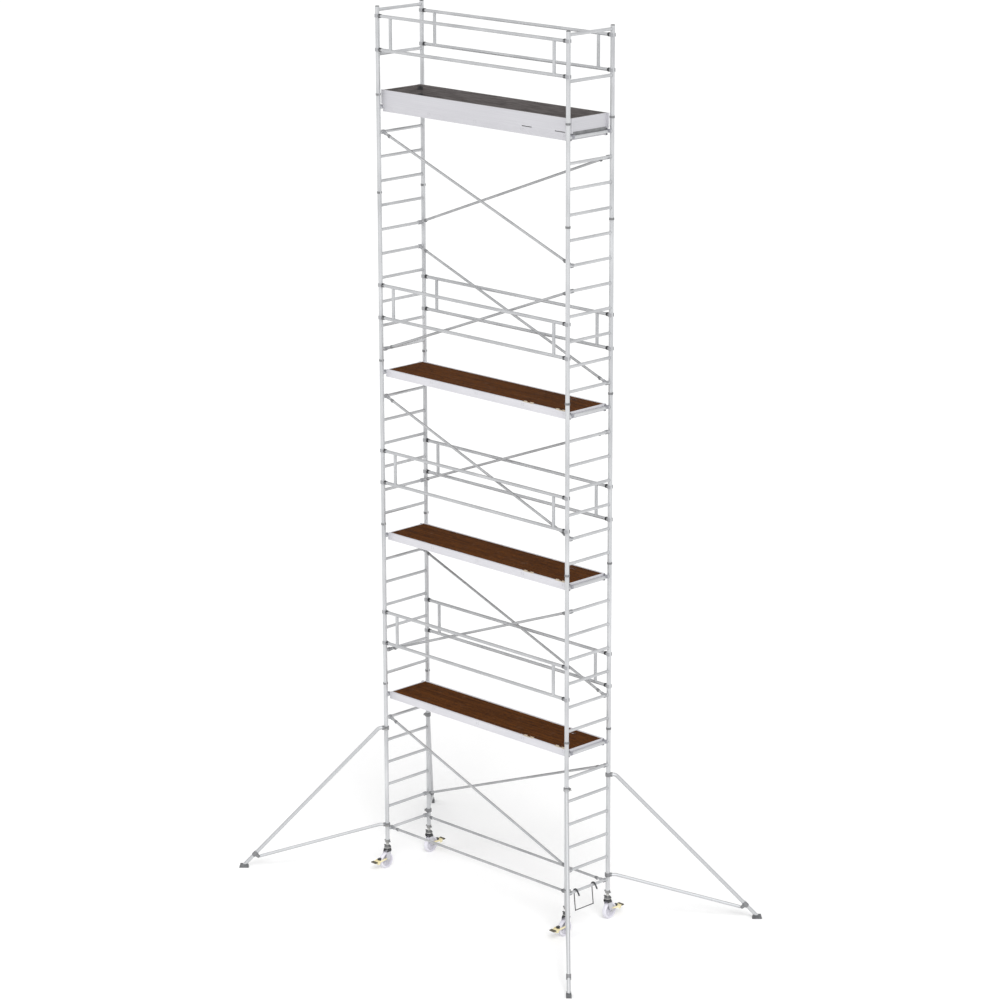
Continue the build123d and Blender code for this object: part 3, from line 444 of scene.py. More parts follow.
def kick_board_finish():
    """Grey film inside, pale profile outside."""
    finish = Finish("kick_board", IOR=1.5)
    x, y, _ = finish.xyz()
    low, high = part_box("toe_boards")
    outside = (abs(x) > (DECK_END - KICK_FACE)) | (abs(y) > (high.y - KICK_FACE))
    streaks = finish.grain((5.0, 5.0, 140.0), 6.0)
    lines = finish.grain((1.5, 1.5, FINE), 4.0, (4.0, 0.0, 0.0))
    tone = finish.spread(streaks, 0.36, 0.64)
    film = finish.blend(tone, GREY_DARK, GREY_LIGHT)
    grey, pale = shaded(PROFILE_GREY, TOP_SHADE), shaded(PROFILE_PALE, TOP_SHADE)
    profile = finish.blend(finish.spread(lines, 0.35, 0.65), grey, pale)
    finish.set(
        Base_Color=finish.blend(outside, film, profile),
        Roughness=finish.spread(streaks, 0.3, 0.7, 0.48, 0.60),
        Metallic=outside * 0.35,
    )
    finish.wear(streaks * 0.5 + lines * 0.5, 0.0003, 0.4)
    return finish


toe_film = kick_board_finish()
print("finish ready:", toe_film.material.name)

# %% [markdown]
# ## Plastic, rubber, plated steel and enamel
# These parts are small, so each needs only a base tone, a fine texture and some variation in
# gloss. Plastic and castings have a light grain, rubber is the dullest, and zinc plate is mottled
# and bright. They differ by a few numbers only, so one function makes them all.


# %% Small-part finishes
def speckled(name, dark, light, rough, metallic=0.0, size=260.0, depth=0.0002, **uniform):
    """A tone that wanders between two colours over a fine moulded or cast grain."""
    finish = Finish(name, **uniform)
    cloud = finish.grain((14.0, 14.0, 14.0), 4.0)
    grain = finish.grain((size, size, size), 3.0, (2.0, 5.0, 1.0))
    tone = finish.spread(cloud * 0.7 + grain * 0.3, 0.35, 0.65)
    finish.set(
        Base_Color=finish.blend(tone, dark, light),
        Roughness=finish.spread(cloud, 0.3, 0.7, rough - 0.06, rough + 0.06),
        Metallic=metallic,
    )
    finish.wear(grain, depth, 0.5)
    return finish


black_plastic = speckled(
    "black_plastic", tint(0.030, 0.031, 0.034), tint(0.060, 0.062, 0.067), 0.52
)
grey_plastic = speckled("grey_plastic", tint(0.15, 0.152, 0.158), tint(0.25, 0.253, 0.26), 0.50)
foot_rubber = speckled("foot_rubber", tint(0.075, 0.077, 0.082), tint(0.16, 0.163, 0.17), 0.72)
zinc_plate = speckled("zinc_plate", tint(0.42, 0.42, 0.40), tint(0.62, 0.62, 0.60), 0.36, 0.9)
cast_aluminium = speckled(
    "cast_aluminium", tint(0.36, 0.365, 0.38), tint(0.50, 0.505, 0.52), 0.55, 0.6
)
stirrup_coat = speckled("stirrup_coat", tint(0.055, 0.055, 0.058), tint(0.10, 0.10, 0.105), 0.48)
yellow_enamel = speckled("yellow_enamel", tint(0.76, 0.66, 0.36), tint(0.90, 0.82, 0.54), 0.40)
tyre_nylon = speckled("tyre_nylon", tint(0.66, 0.645, 0.71), tint(0.78, 0.77, 0.83), 0.46)
rim_nylon = speckled("rim_nylon", tint(0.56, 0.55, 0.60), tint(0.68, 0.67, 0.72), 0.5)
nut_casting = speckled("nut_casting", tint(0.24, 0.24, 0.24), tint(0.38, 0.38, 0.375), 0.42, 0.7)
head_casting = speckled("head_casting", tint(0.10, 0.10, 0.105), tint(0.19, 0.19, 0.195), 0.45, 0.5)
pedal_rubber = speckled("pedal_rubber", tint(0.085, 0.075, 0.052), tint(0.155, 0.138, 0.098), 0.68)
weld_metal = speckled(
    "weld_metal", tint(0.40, 0.41, 0.42), tint(0.58, 0.59, 0.60), 0.42, 0.7, 420.0, 0.0004
)
print("small-part finishes ready")

# %% [markdown]
# ## Fork enamel and plate
# Only the crown of a caster's fork is enamelled black. Its side plates are pale plated steel with
# the paint's edge just below the crown, so height tells one from the other.

# %% Fork finish
ENAMEL_EDGE = 0.206


def fork_finish():
    """Black crown over pale side plates."""
    finish = Finish("fork_enamel", IOR=1.5)
    _, _, z = finish.xyz()
    cloud = finish.grain((14.0, 14.0, 14.0), 4.0)
    crown = z > ENAMEL_EDGE
    plated = finish.blend(cloud, tint(0.46, 0.455, 0.49), tint(0.64, 0.635, 0.68))
    finish.set(
        Base_Color=finish.blend(crown, plated, tint(0.028, 0.028, 0.031)),
        Roughness=finish.spread(cloud, 0.3, 0.7, 0.34, 0.44),
        Metallic=0.5 - crown * 0.5,
    )
    return finish


fork_coat = fork_finish()
print("finish ready:", fork_coat.material.name)

# %% [markdown]
# ## Claws that snap on
# A guard rail ends in a light cast claw round the post, with a black sleeve where the tube goes in.
# Both are in one node. The sleeve lies further from the post than the claw does, so distance along
# X from the end frame's plane tells them apart. Brace claws lie inside the posts' plane.


# %% Claw finish
def claw_finish():
    """Cast claw with a black sleeve at each rail end."""
    finish = Finish("snap_claw", IOR=1.45)
    x, y, _ = finish.xyz()
    away = END_X - abs(x)
    rail_side = abs(y) > (SIDE_Y - POST_R)
    sleeve = (away > (POST_R + 0.0078)) * rail_side
    speckle = finish.grain((500.0, 500.0, 500.0), 2.0)
    cast = finish.blend(speckle, tint(0.34, 0.345, 0.36), tint(0.46, 0.465, 0.48))
    finish.set(
        Base_Color=finish.blend(sleeve, cast, tint(0.03, 0.031, 0.034)),
        Roughness=0.50 + speckle * 0.1,
        Metallic=0.6 - sleeve * 0.6,
    )
    finish.wear(speckle, 0.0003, 0.5)
    return finish


claw_cast = claw_finish()
print("finish ready:", claw_cast.material.name)

# %% [markdown]
# ## Dress the solid pieces
# Each solid piece that keeps its shape gets its finish in its own material slots. The names say
# what each is, so one table of name beginnings is enough.

# %% Put the finishes on
FINISH_BY_START = {
    "base_frame": frame_metal,
    "second_frame": frame_metal,
    "third_frame": frame_metal,
    "fourth_frame": frame_metal,
    "short_frame": frame_metal,
    "top_rail_frames": frame_metal,
    "frame_spigots": frame_metal,
    "guard_rails": rail_metal,
    "front_braces": brace_metal,
    "back_braces": brace_metal,
    "outrigger_foot": foot_rubber,
    "outrigger": outrigger_metal,
    "spigot_clips": grey_plastic,
    "post_caps": black_plastic,
    "snap_claws": claw_cast,
    "spindle_nuts": nut_casting,
    "access_stirrup": stirrup_coat,
    "caster_fork": fork_coat,
    "caster_spindle": zinc_plate,
    "caster_wheel": tyre_nylon,
    "caster_pedal": yellow_enamel,
    "toe_boards": toe_film,
}


def finish_for(name):
    """The finish whose name beginning fits best."""
    if name.startswith("platform_"):
        number = int(name.split("_")[1])
        return platform_metal[number] if name.endswith("frame") else board_film[number]
    starts = [start for start in FINISH_BY_START if name.startswith(start)]
    return FINISH_BY_START[max(starts, key=len)]


for name, piece in nodes.items():
    piece.data.materials.clear()
    piece.data.materials.append(finish_for(name).material)
print("dressed", len(nodes), "solid pieces")

# %% [markdown]
# ## A small workshop for new pieces
# New pieces are built from points and faces. A lathe turns an outline, a loop draws a round bar
# along a closed path, and a hull wraps a set of points, which makes neat chamfered blocks. Every
# one of them gives a closed skin, so the pieces are real bodies and not loose faces.


# %% Shape tools
class Shape:
    """Points and faces of one piece, gathered bit by bit."""

    def __init__(self):
        self.points = []
        self.faces = []

    def add(self, points, faces, place=Matrix.Identity(4)):
        first = len(self.points)
        self.points += [place @ Vector(point) for point in points]
        flip = place.determinant() < 0
        for face in faces:
            indexes = [first + index for index in face]
            self.faces.append(indexes[::-1] if flip else indexes)

    def lathe(self, outline, place=Matrix.Identity(4), sides=40):
        """Turn (radius, height) pairs about Z. On-axis ends close the skin; others form a ring."""
        points, rings = [], []
        for radius, height in outline:
            count = 1 if radius == 0 else sides
            ring = range(len(points), len(points) + count)
            rings.append([ring[step % count] for step in range(sides)])
            for step in range(count):
                turn = 2 * math.pi * step / sides
                points.append((radius * math.cos(turn), radius * math.sin(turn), height))
        closed = outline[0][0] > 0
        pairs = list(zip(rings, rings[1:] + rings[:1]))
        faces = []
        for low, high in pairs if closed else pairs[:-1]:
            for step in range(sides):
                after = (step + 1) % sides
                corners = [low[step], low[after], high[after], high[step]]
                faces.append(list(dict.fromkeys(corners)))
        self.add(points, faces, place)

    def loop(self, path, radius, sides=8):
        """Round bar along a closed path."""
        path = [Vector(point) for point in path]
        count = len(path)
        middle = sum(path, Vector()) / count
        points, faces = [], []
        for index, point in enumerate(path):
            ahead = (path[(index + 1) % count] - path[index - 1]).normalized()
            outward = (point - middle).normalized()
            outward = (outward - ahead * outward.dot(ahead)).normalized()
            side = ahead.cross(outward)
            for step in range(sides):
                turn = 2 * math.pi * step / sides
                points.append(point + (outward * math.cos(turn) + side * math.sin(turn)) * radius)
        for index in range(count):
            here, there = index * sides, ((index + 1) % count) * sides
            for step in range(sides):
                after = (step + 1) % sides
                faces.append([here + step, here + after, there + after, there + step])
        self.add(points, faces)

    def hull(self, points, place=Matrix.Identity(4)):
        """Tight skin round some points."""
        mesh = bmesh.new()
        for point in points:
            mesh.verts.new(point)
        result = bmesh.ops.convex_hull(mesh, input=mesh.verts)
        loose = [item for item in result["geom_interior"] if isinstance(item, bmesh.types.BMVert)]
        bmesh.ops.delete(mesh, geom=loose, context="VERTS")
        flat = math.radians(1)
        bmesh.ops.dissolve_limit(mesh, angle_limit=flat, verts=mesh.verts, edges=mesh.edges)
        mesh.verts.index_update()
        points = [tuple(vertex.co) for vertex in mesh.verts]
        faces = [[vertex.index for vertex in face.verts] for face in mesh.faces]
        mesh.free()
        self.add(points, faces, place)

    def block(self, low, high, chamfer, place=Matrix.Identity(4)):
        """Box with chamfered edges."""
        points = []
        for corner in range(8):
            ends = [high[axis] if corner >> axis & 1 else low[axis] for axis in range(3)]
            inward = [-chamfer if corner >> axis & 1 else chamfer for axis in range(3)]
            for kept in range(3):
                points.append([ends[a] + (0 if a == kept else inward[a]) for a in range(3)])
        self.hull(points, place)


print("shape tools:", [name for name in vars(Shape) if not name.startswith("_")])

# %% [markdown]
# ## From a shape to a piece
# A shape becomes a piece once it has a mesh, a finish, a body to ride on and a material slot. Its
# faces are shaded smooth and only the edges above an angle stay sharp, which suits turned and
# rolled metal. Two short helpers give the shifts and turns that place a shape.


# %% Make a piece
def make(name, shape, finish, body, smooth=40):
    """Turn a shape into a piece that rides on a body."""
    mesh = bpy.data.meshes.new(name)
    mesh.from_pydata([tuple(point) for point in shape.points], [], shape.faces)
    mesh.validate()
    mesh.polygons.foreach_set("use_smooth", [True] * len(mesh.polygons))
    mesh.set_sharp_from_angle(angle=math.radians(smooth))
    mesh.materials.append(finish.material)
    piece = bpy.data.objects.new(name, mesh)
    bpy.context.scene.collection.objects.link(piece)
    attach(piece, body)
    return piece


def moved(x, y, z):
    """Shift."""
    return Matrix.Translation((x, y, z))


def turned(degrees, axis):
    """Turn about a main axis."""
    return Matrix.Rotation(math.radians(degrees), 4, axis)


# %% [markdown]
# ## Weld beads
# Each rung is welded all round where it meets the post. The seam is the line where two round tubes
# cross: a circle round the rung, pushed in and out along Y by the post's roundness. A thin bar
# drawn along that line and swollen a little at even steps looks like the ripple of a hand weld.

# %% Weld every rung and rail
BEAD_R = 0.0026
BEAD_STEPS = 28
RAIL_R = 0.019
TOP_RAIL_DROPS = (0.039, 0.548)


def weld_line(side_x, side_y, height, tube_r):
    """Points of the seam between a post and a tube along Y."""
    points = []
    for step in range(BEAD_STEPS):
        turn = 2 * math.pi * step / BEAD_STEPS
        out = tube_r + BEAD_R * 0.35 * (1 + 0.3 * (step % 2))
        x, z = out * math.cos(turn), out * math.sin(turn)
        y = math.sqrt(max(POST_R**2 - x * x, 0.0)) + BEAD_R * 0.2
        points.append((side_x * END_X + x, side_y * (SIDE_Y - y), height + z))
    return points


welds = Shape()
seams = [(rung_z(number), RUNG_R) for number in range(RUNG_COUNT)]
seams += [(POST_TOP - drop, RAIL_R) for drop in TOP_RAIL_DROPS]
for side_x, side_y in CORNERS.values():
    for height, tube_r in seams:
        welds.loop(weld_line(side_x, side_y, height, tube_r), BEAD_R, 6)
make("weld_beads", welds, weld_metal, "tower", 60)
print("welds:", len(seams) * len(CORNERS))

# %% [markdown]
# ## Threaded spindles
# The spindle lets a post be raised until the tower stands plumb. Its rolled thread is coarse, with
# a flat crest, so that grit drops out of it. A lathe can't turn a thread, but a grid of rings can:
# each point's radius depends on its height less its share of a turn, which makes a true helix. The
# head plate carries two ears, and the king pin with its nut holds the fork from below.

# %% Screw thread tool
THREAD_PITCH = 0.008
THREAD_DEPTH = 0.0022
THREAD_SIDES = 24
THREAD_STEPS = 6


def thread(shape, radius, low, high, place):
    """Solid bar with a helical ridge along Z."""
    rings = int((high - low) / THREAD_PITCH * THREAD_STEPS)
    points, faces = [], []
    for ring in range(rings + 1):
        height = low + (high - low) * ring / rings
        for step in range(THREAD_SIDES):
            share = step / THREAD_SIDES
            phase = ((height - low) / THREAD_PITCH - share) % 1.0
            sink = max(0.0, min(1.0, 2.5 - abs(phase - 0.5) * 6)) * THREAD_DEPTH
            turn = 2 * math.pi * share
            reach = radius - sink
            points.append((reach * math.cos(turn), reach * math.sin(turn), height))
    faces.append(list(range(THREAD_SIDES))[::-1])
    faces.append([rings * THREAD_SIDES + step for step in range(THREAD_SIDES)])
    for ring in range(rings):
        for step in range(THREAD_SIDES):
            after = (step + 1) % THREAD_SIDES
            here = ring * THREAD_SIDES
            above = here + THREAD_SIDES
            faces.append([here + step, here + after, above + after, above + step])
    shape.add(points, faces, place)


def facing(point, direction):
    """Place whose Z axis points along a direction."""
    turn = Vector(direction).normalized().to_track_quat("Z", "Y").to_matrix().to_4x4()
    return Matrix.Translation(Vector(point)) @ turn


def hexagon(shape, place, radius, height):
    """Hexagon nut or bolt head with bevelled corners."""
    points = []
    for step in range(6):
        turn = math.radians(60 * step)
        for reach, rise in ((radius, 0.0), (radius, height * 0.75), (radius * 0.88, height)):
            points.append((reach * math.cos(turn), reach * math.sin(turn), rise))
    shape.hull(points, place)


def button(shape, place, radius, height, sides=16):
    """Low domed head, such as a rivet or a screw."""
    shoulder = (radius * 0.75, height * 0.9)
    outline = [(0, 0), (radius, 0), (radius, height * 0.5), shoulder, (0, height)]
    shape.lathe(outline, place, sides)


print("thread pitch", THREAD_PITCH, "depth", THREAD_DEPTH)

# %% [markdown]
# ## The spindle's stem and head
# The head plate is turned, with two ears to turn it by hand. Each ear is the hull of two upright
# sections, which gives its wedge. The stem and the head are two pieces that take the place of the
# plain solid, because rolled steel is bright and the head is a darker casting.

# %% Spindles
SPINDLE_R = 0.019
SPINDLE_LOW, SPINDLE_TOP = 0.280, 0.710
HEAD_LOW, HEAD_R = 0.262, 0.041
COLLAR_R, NECK_R, COLLAR_HEIGHT = 0.027, 0.0245, 0.006
CROWN_Z = 0.238
KING_PIN_R, KING_PIN_LOW = 0.010, CROWN_Z - 0.0083
KING_NUT_R, KING_NUT_HEIGHT = 0.017, 0.008
EAR_HALF = 0.007
EAR_SECTIONS = ((0.030, (0.004, 0.016)), (0.056, (0.010, 0.020)))


def corner_place(corner):
    """Matrix that turns a caster's own place into the tower's: its pedal side is +Y."""
    side_x, side_y = CORNERS[corner]
    place = moved(side_x * END_X, side_y * SIDE_Y, 0)
    return place if side_y > 0 else place @ turned(180, "Z")


for corner in CORNERS:
    place = corner_place(corner)
    stem = Shape()
    thread(stem, SPINDLE_R, SPINDLE_LOW - 0.002, SPINDLE_TOP, place)
    piece = make(f"threaded_stem_{corner}", stem, zinc_plate, f"spindle_{corner}", 25)
    head = Shape()
    head.lathe(
        [
            (0, HEAD_LOW),
            (HEAD_R - 0.001, HEAD_LOW),
            (HEAD_R, HEAD_LOW + 0.001),
            (HEAD_R, HEAD_LOW + 0.011),
            (HEAD_R - 0.006, SPINDLE_LOW),
            (COLLAR_R, SPINDLE_LOW),
            (NECK_R, SPINDLE_LOW + COLLAR_HEIGHT),
            (0, SPINDLE_LOW + COLLAR_HEIGHT),
        ],
        place,
    )
    for side in (-1, 1):
        ear = [
            (side * along, across, HEAD_LOW + rise)
            for along, rises in EAR_SECTIONS
            for rise in rises
            for across in (-EAR_HALF, EAR_HALF)
        ]
        head.hull(ear, place)
    pin = [(0, KING_PIN_LOW), (KING_PIN_R, KING_PIN_LOW), (KING_PIN_R, HEAD_LOW), (0, HEAD_LOW)]
    head.lathe(pin, place)
    hexagon(head, place @ moved(0, 0, KING_PIN_LOW), KING_NUT_R, KING_NUT_HEIGHT)
    cast = make(f"spindle_head_{corner}", head, head_casting, f"spindle_{corner}", 35)
    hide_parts(f"caster_spindle_{corner}")
    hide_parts(f"caster_spindle_{corner}")
turns = round((SPINDLE_TOP - SPINDLE_LOW) / THREAD_PITCH)
print("spindles cut:", len(CORNERS), "with", turns, "turns each")

# %% [markdown]
# ## Wheels
# The wheel is a hard nylon casting with a slightly crowned tyre. Its tread has two narrow grooves,
# and the shoulders are rounded so that it climbs small steps. Six ribs stiffen the web on both
# sides, and a steel cover closes the bearing. One outline, turned on the axle, gives the tyre, and
# a second gives the rim, web and hub in one closed skin, which is how it comes out of a mould.

# %% Tyre outline
WHEEL_R = 0.100
TYRE_INNER = 0.078
HALF_WIDTH = 0.025
TRAIL = 0.028
AXLE_R = 0.00605
HUB_R = 0.021
HUB_HALF = 0.028
SHOULDER_R, SHOULDER_REACH, SHOULDER_SIDE = 0.012, 0.0862, 0.013
GROOVE_MIDDLES = (-0.0075, 0.0075)
GROOVE_TOP_R, GROOVE_FLOOR_R = 0.0992, 0.0978


def tyre_outline():
    """Radius and place along the axle, round the tyre's section."""
    points = [(TYRE_INNER, -HALF_WIDTH), (0.086, -HALF_WIDTH)]
    for step in range(7):
        turn = math.radians(15 * step)
        reach = SHOULDER_REACH + SHOULDER_R * math.sin(turn)
        points.append((reach, -SHOULDER_SIDE - SHOULDER_R * math.cos(turn)))
    for middle in GROOVE_MIDDLES:
        points += [
            (GROOVE_TOP_R, middle - 0.0018),
            (GROOVE_FLOOR_R, middle - 0.0008),
            (GROOVE_FLOOR_R, middle + 0.0008),
            (GROOVE_TOP_R, middle + 0.0018),
        ]
        if middle < 0:
            points.append((WHEEL_R, 0.0))
    for step in range(6, -1, -1):
        turn = math.radians(15 * step)
        reach = SHOULDER_REACH + SHOULDER_R * math.sin(turn)
        points.append((reach, SHOULDER_SIDE + SHOULDER_R * math.cos(turn)))
    return points + [(0.086, HALF_WIDTH), (TYRE_INNER, HALF_WIDTH)]


print("tyre outline has", len(tyre_outline()), "points")

# %% [markdown]
# ## Rim, ribs and bearing covers
# Half of the rim's outline is written down and the other half is its mirror, as the casting is the
# same on both sides. The ribs are thin chamfered blocks sunk into the web, and a ring covers each
# bearing. All of them turn with the wheel about its axle.

# %% Turn the rims and fit the tyres
RIM_OUTLINE = [
    (TYRE_INNER, -0.015),
    (0.0715, -0.015),
    (0.0695, -0.013),
    (0.0690, -0.006),
    (0.0660, -0.005),
    (0.0260, -0.005),
    (0.0225, -0.008),
    (HUB_R, -0.012),
    (HUB_R, -0.026),
    (0.019, -HUB_HALF),
    (AXLE_R, -HUB_HALF),
]
RIM_OUTLINE += [(radius, -height) for radius, height in reversed(RIM_OUTLINE)]
COVER_OUTLINE = [(0.0075, 0.0272), (0.0165, 0.0272), (0.0160, 0.0282), (0.0080, 0.0282)]
RIB_COUNT, RIB_HALF, RIB_START, RIB_END = 6, 0.0025, 0.020, 0.0705
RIB_LOW, RIB_HIGH = 0.004, 0.0125

for corner in CORNERS:
    axle = corner_place(corner) @ moved(0, TRAIL, WHEEL_R) @ turned(90, "Y")
    tyre = Shape()
    tyre.lathe(tyre_outline()[::-1], axle, 64)
    rim = Shape()
    rim.lathe(RIM_OUTLINE, axle, 48)
    for rib in range(RIB_COUNT):
        spin = axle @ turned(360 / RIB_COUNT * rib, "Z")
        for side in (-1, 1):
            low, high = sorted((side * RIB_LOW, side * RIB_HIGH))
            rim.block((RIB_START, -RIB_HALF, low), (RIB_END, RIB_HALF, high), 0.0007, spin)
    cover = Shape()
    for side in (-1, 1):
        disc = axle if side > 0 else axle @ turned(180, "Y")
        cover.lathe(COVER_OUTLINE, disc, 32)
    tyre_piece = make(f"tyre_{corner}", tyre, tyre_nylon, f"wheel_{corner}", 35)
    rim_piece = make(f"rim_{corner}", rim, rim_nylon, f"wheel_{corner}", 35)
    make(f"bearing_cover_{corner}", cover, zinc_plate, f"wheel_{corner}", 35)
    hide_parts(f"caster_wheel_{corner}")
    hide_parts(f"caster_wheel_{corner}")
print("wheels turned:", len(CORNERS), "with", RIB_COUNT, "ribs a side")

# %% [markdown]
# ## Brake pedals
# A yellow pedal is pressed from plate and has a black ribbed rubber pad, so that a boot finds it
# and doesn't slip. The arms are flat straps on the fork's pins. Under the pedal a moulded shoe
# meets the tyre. Each arm is the hull of two discs, which is just what a stamped strap is, and the
# pad's ribs are chamfered blocks sunk a little into it.

# %% Cut a strap
PIVOT_Y, PIVOT_Z = 0.050, 0.128
ARM_INNER, ARM_OUTER = 0.0363, 0.0403
PLATE_Y, PAD_Y, TIP_Y = 0.142, 0.201, 0.243
TREAD_Z = 0.118
STRAP_R, STRAP_BORE_R = 0.010, 0.00405
PLATE_HALF = 0.006
GRIP_HALF_X, PAD_HALF_X, SHOE_HALF_X = 0.030, 0.036, 0.015
SHOE_START, SHOE_END, SHOE_STEPS = 10.3, 28, 8


def strap(shape, x_low, x_high, ends, hole, place):
    """Flat strap between two rounded ends across X; the first end has a bore."""
    (near, near_r), (far, far_r) = ends
    ring, steps = [], 20
    along = math.atan2(far[1] - near[1], far[0] - near[0])
    lean = math.asin((near_r - far_r) / math.dist(near, far))
    for step in range(steps + 1):
        turn = along + math.pi / 2 - lean + (math.pi + 2 * lean) * step / steps
        ring.append((near[0] + near_r * math.cos(turn), near[1] + near_r * math.sin(turn)))
    for step in range(steps + 1):
        turn = along - math.pi / 2 + lean + (math.pi - 2 * lean) * step / steps
        ring.append((far[0] + far_r * math.cos(turn), far[1] + far_r * math.sin(turn)))
    count = len(ring)
    inner = []
    for y, z in ring:
        turn = math.atan2(z - near[1], y - near[0])
        inner.append((near[0] + hole * math.cos(turn), near[1] + hole * math.sin(turn)))
    points = [(x, y, z) for x in (x_low, x_high) for y, z in ring + inner]
    faces, top = [], 2 * count
    for step in range(count):
        after = (step + 1) % count
        faces.append([step, step + count, after + count, after])
        faces.append([top + step, top + after, top + after + count, top + step + count])
        faces.append([step, after, top + after, top + step])
        faces.append([step + count, top + step + count, top + after + count, after + count])
    shape.add(points, faces, place)


print("a strap runs from", (PIVOT_Y, PIVOT_Z), "to", (PLATE_Y, TREAD_Z))

# %% [markdown]
# ## Plate, pad and brake shoe
# The pressed plate joins the two straps, and the rubber pad is moulded round its tip. The shoe must
# follow the tyre with a small gap, so its face is drawn as short steps on a circle about the axle,
# and each step is the hull of a thin slice.

# %% Press the pedals
for corner in CORNERS:
    place = corner_place(corner)
    pedal, pad, shoe = Shape(), Shape(), Shape()
    for low, high in ((-ARM_OUTER, -ARM_INNER), (ARM_INNER, ARM_OUTER)):
        ends = (((PIVOT_Y, PIVOT_Z), STRAP_R), ((PLATE_Y + 0.020, TREAD_Z), STRAP_R))
        strap(pedal, low, high, ends, STRAP_BORE_R, place)
    plate_low = (-ARM_INNER, PLATE_Y, TREAD_Z - PLATE_HALF)
    plate_high = (ARM_INNER, TIP_Y - 0.004, TREAD_Z + PLATE_HALF)
    pedal.block(plate_low, plate_high, 0.0015, place)
    grip_low, grip_high = TREAD_Z + 0.005, TREAD_Z + 0.0075
    for step in range(3):
        y = PLATE_Y + 0.014 + 0.016 * step
        ends = ((-GRIP_HALF_X, y, grip_low), (GRIP_HALF_X, y + 0.006, grip_high))
        pedal.block(*ends, 0.001, place)
    pad_low, pad_high = (-ARM_OUTER, PAD_Y, TREAD_Z - 0.008), (ARM_OUTER, TIP_Y, TREAD_Z + 0.0062)
    pad.block(pad_low, pad_high, 0.0025, place)
    for step in range(5):
        y = PAD_Y + 0.0045 + 0.0072 * step
        ends = ((-PAD_HALF_X, y, grip_low), (PAD_HALF_X, y + 0.0038, TREAD_Z + 0.008))
        pad.block(*ends, 0.0008, place)
    reach = WHEEL_R + 0.001
    profile = []
    for step in range(SHOE_STEPS + 1):
        turn = math.radians(SHOE_START + (SHOE_END - SHOE_START) * step / SHOE_STEPS)
        profile.append((TRAIL + reach * math.cos(turn), WHEEL_R + reach * math.sin(turn)))
    top = WHEEL_R + reach * math.sin(math.radians(SHOE_END))
    back_y = PLATE_Y + 0.014
    for (y0, z0), (y1, z1) in zip(profile, profile[1:]):
        section = ((y0, z0), (y1, z1), (back_y, z0), (back_y, z1))
        shoe.hull([(x, y, z) for x in (-SHOE_HALF_X, SHOE_HALF_X) for y, z in section], place)
    pieces = [
        make(f"pedal_plate_{corner}", pedal, yellow_enamel, f"pedal_{corner}", 35),
        make(f"pedal_pad_{corner}", pad, pedal_rubber, f"pedal_{corner}", 35),
        make(f"brake_shoe_{corner}", shoe, black_plastic, f"pedal_{corner}", 35),
    ]
    for piece in pieces:
        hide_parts(f"caster_pedal_{corner}")
print("pedals pressed, shoe top at", round(top, 4))

# %% [markdown]
# ## Pedal skirts
# The pressed plate is folded down along both sides and at the front, which stiffens it. The fold
# shows as a deep yellow wedge from the side. Each cheek is the hull of a slanting four-sided plate,
# and the front is a leaning plate between the two.

# %% Fold the skirts
CHEEK = 0.0016
CHEEK_X = 0.0340
CHEEK_OUTLINE = ((0.150, 0.113), (0.204, 0.113), (0.192, 0.084), (0.160, 0.084))
FRONT_OUTLINE = ((0.2015, 0.113), (0.1895, 0.084), (0.1880, 0.084), (0.2000, 0.113))
for corner in CORNERS:
    place = corner_place(corner)
    skirt = Shape()
    for side in (-1, 1):
        xs = (side * CHEEK_X, side * (CHEEK_X - CHEEK))
        skirt.hull([(x, y, z) for x in xs for y, z in CHEEK_OUTLINE], place)
    skirt.hull([(x, y, z) for x in (-CHEEK_X, CHEEK_X) for y, z in FRONT_OUTLINE], place)
    make(f"pedal_skirt_{corner}", skirt, yellow_enamel, f"pedal_{corner}", 30)
print("skirts folded")

# %% [markdown]
# ## Fork fittings
# The solid fork already has its true shape, so only its small steel parts are added: a nut at each
# end of the axle and the ball race's ring above the crown. The ring is one turned outline.

# %% Axle nuts and race rings
AXLE_NUT_X, AXLE_NUT_R, AXLE_NUT_HEIGHT = 0.0425, 0.0092, 0.0055
RACE_OUTLINE = [
    (0.0385, 0.2505),
    (0.0395, 0.2525),
    (0.0395, 0.2590),
    (0.0385, 0.2612),
    (0.0375, 0.2612),
    (0.0375, 0.2505),
]
for corner in CORNERS:
    place = corner_place(corner)
    fittings = Shape()
    for side in (-1, 1):
        nut = place @ facing((side * AXLE_NUT_X, TRAIL, WHEEL_R), (side, 0, 0))
        hexagon(fittings, nut, AXLE_NUT_R, AXLE_NUT_HEIGHT)
    fittings.lathe(RACE_OUTLINE, place)
    make(f"fork_fittings_{corner}", fittings, zinc_plate, f"fork_{corner}", 30)
print("fork fittings placed")

# %% [markdown]
# ## Outrigger fittings
# Each coupler is closed with a bolt through its ears and a wing nut, so that it needs no tools.
# Each outrigger points away from the middle of the tower, so one matrix turns its own place into
# the tower's. The pieces that it places turn with the outrigger about its post.

# %% Place an outrigger
UPPER_COUPLER_Z = rung_z(4) + 0.157
LOWER_COUPLER_Z = rung_z(0) + 0.052
EAR_Y = 0.0431
EAR_FACE_X = 0.0060
BOLT_DROP = 0.008
BOLT_R, BOLT_HEAD = 0.0075, 0.0050
WING_HALF = 0.0018
WING_SECTIONS = ((0.004, (0.002, 0.009)), (0.016, (0.010, 0.019)))


def outrigger_place(corner):
    """Matrix that turns an outrigger's own place into the tower's: X points outwards."""
    side_x, side_y = CORNERS[corner]
    out = turned(math.degrees(math.atan2(side_y, side_x)), "Z")
    return moved(side_x * END_X, side_y * SIDE_Y, 0) @ out


print("outriggers point out at", [round(outrigger_place(c).to_euler().z, 3) for c in CORNERS])

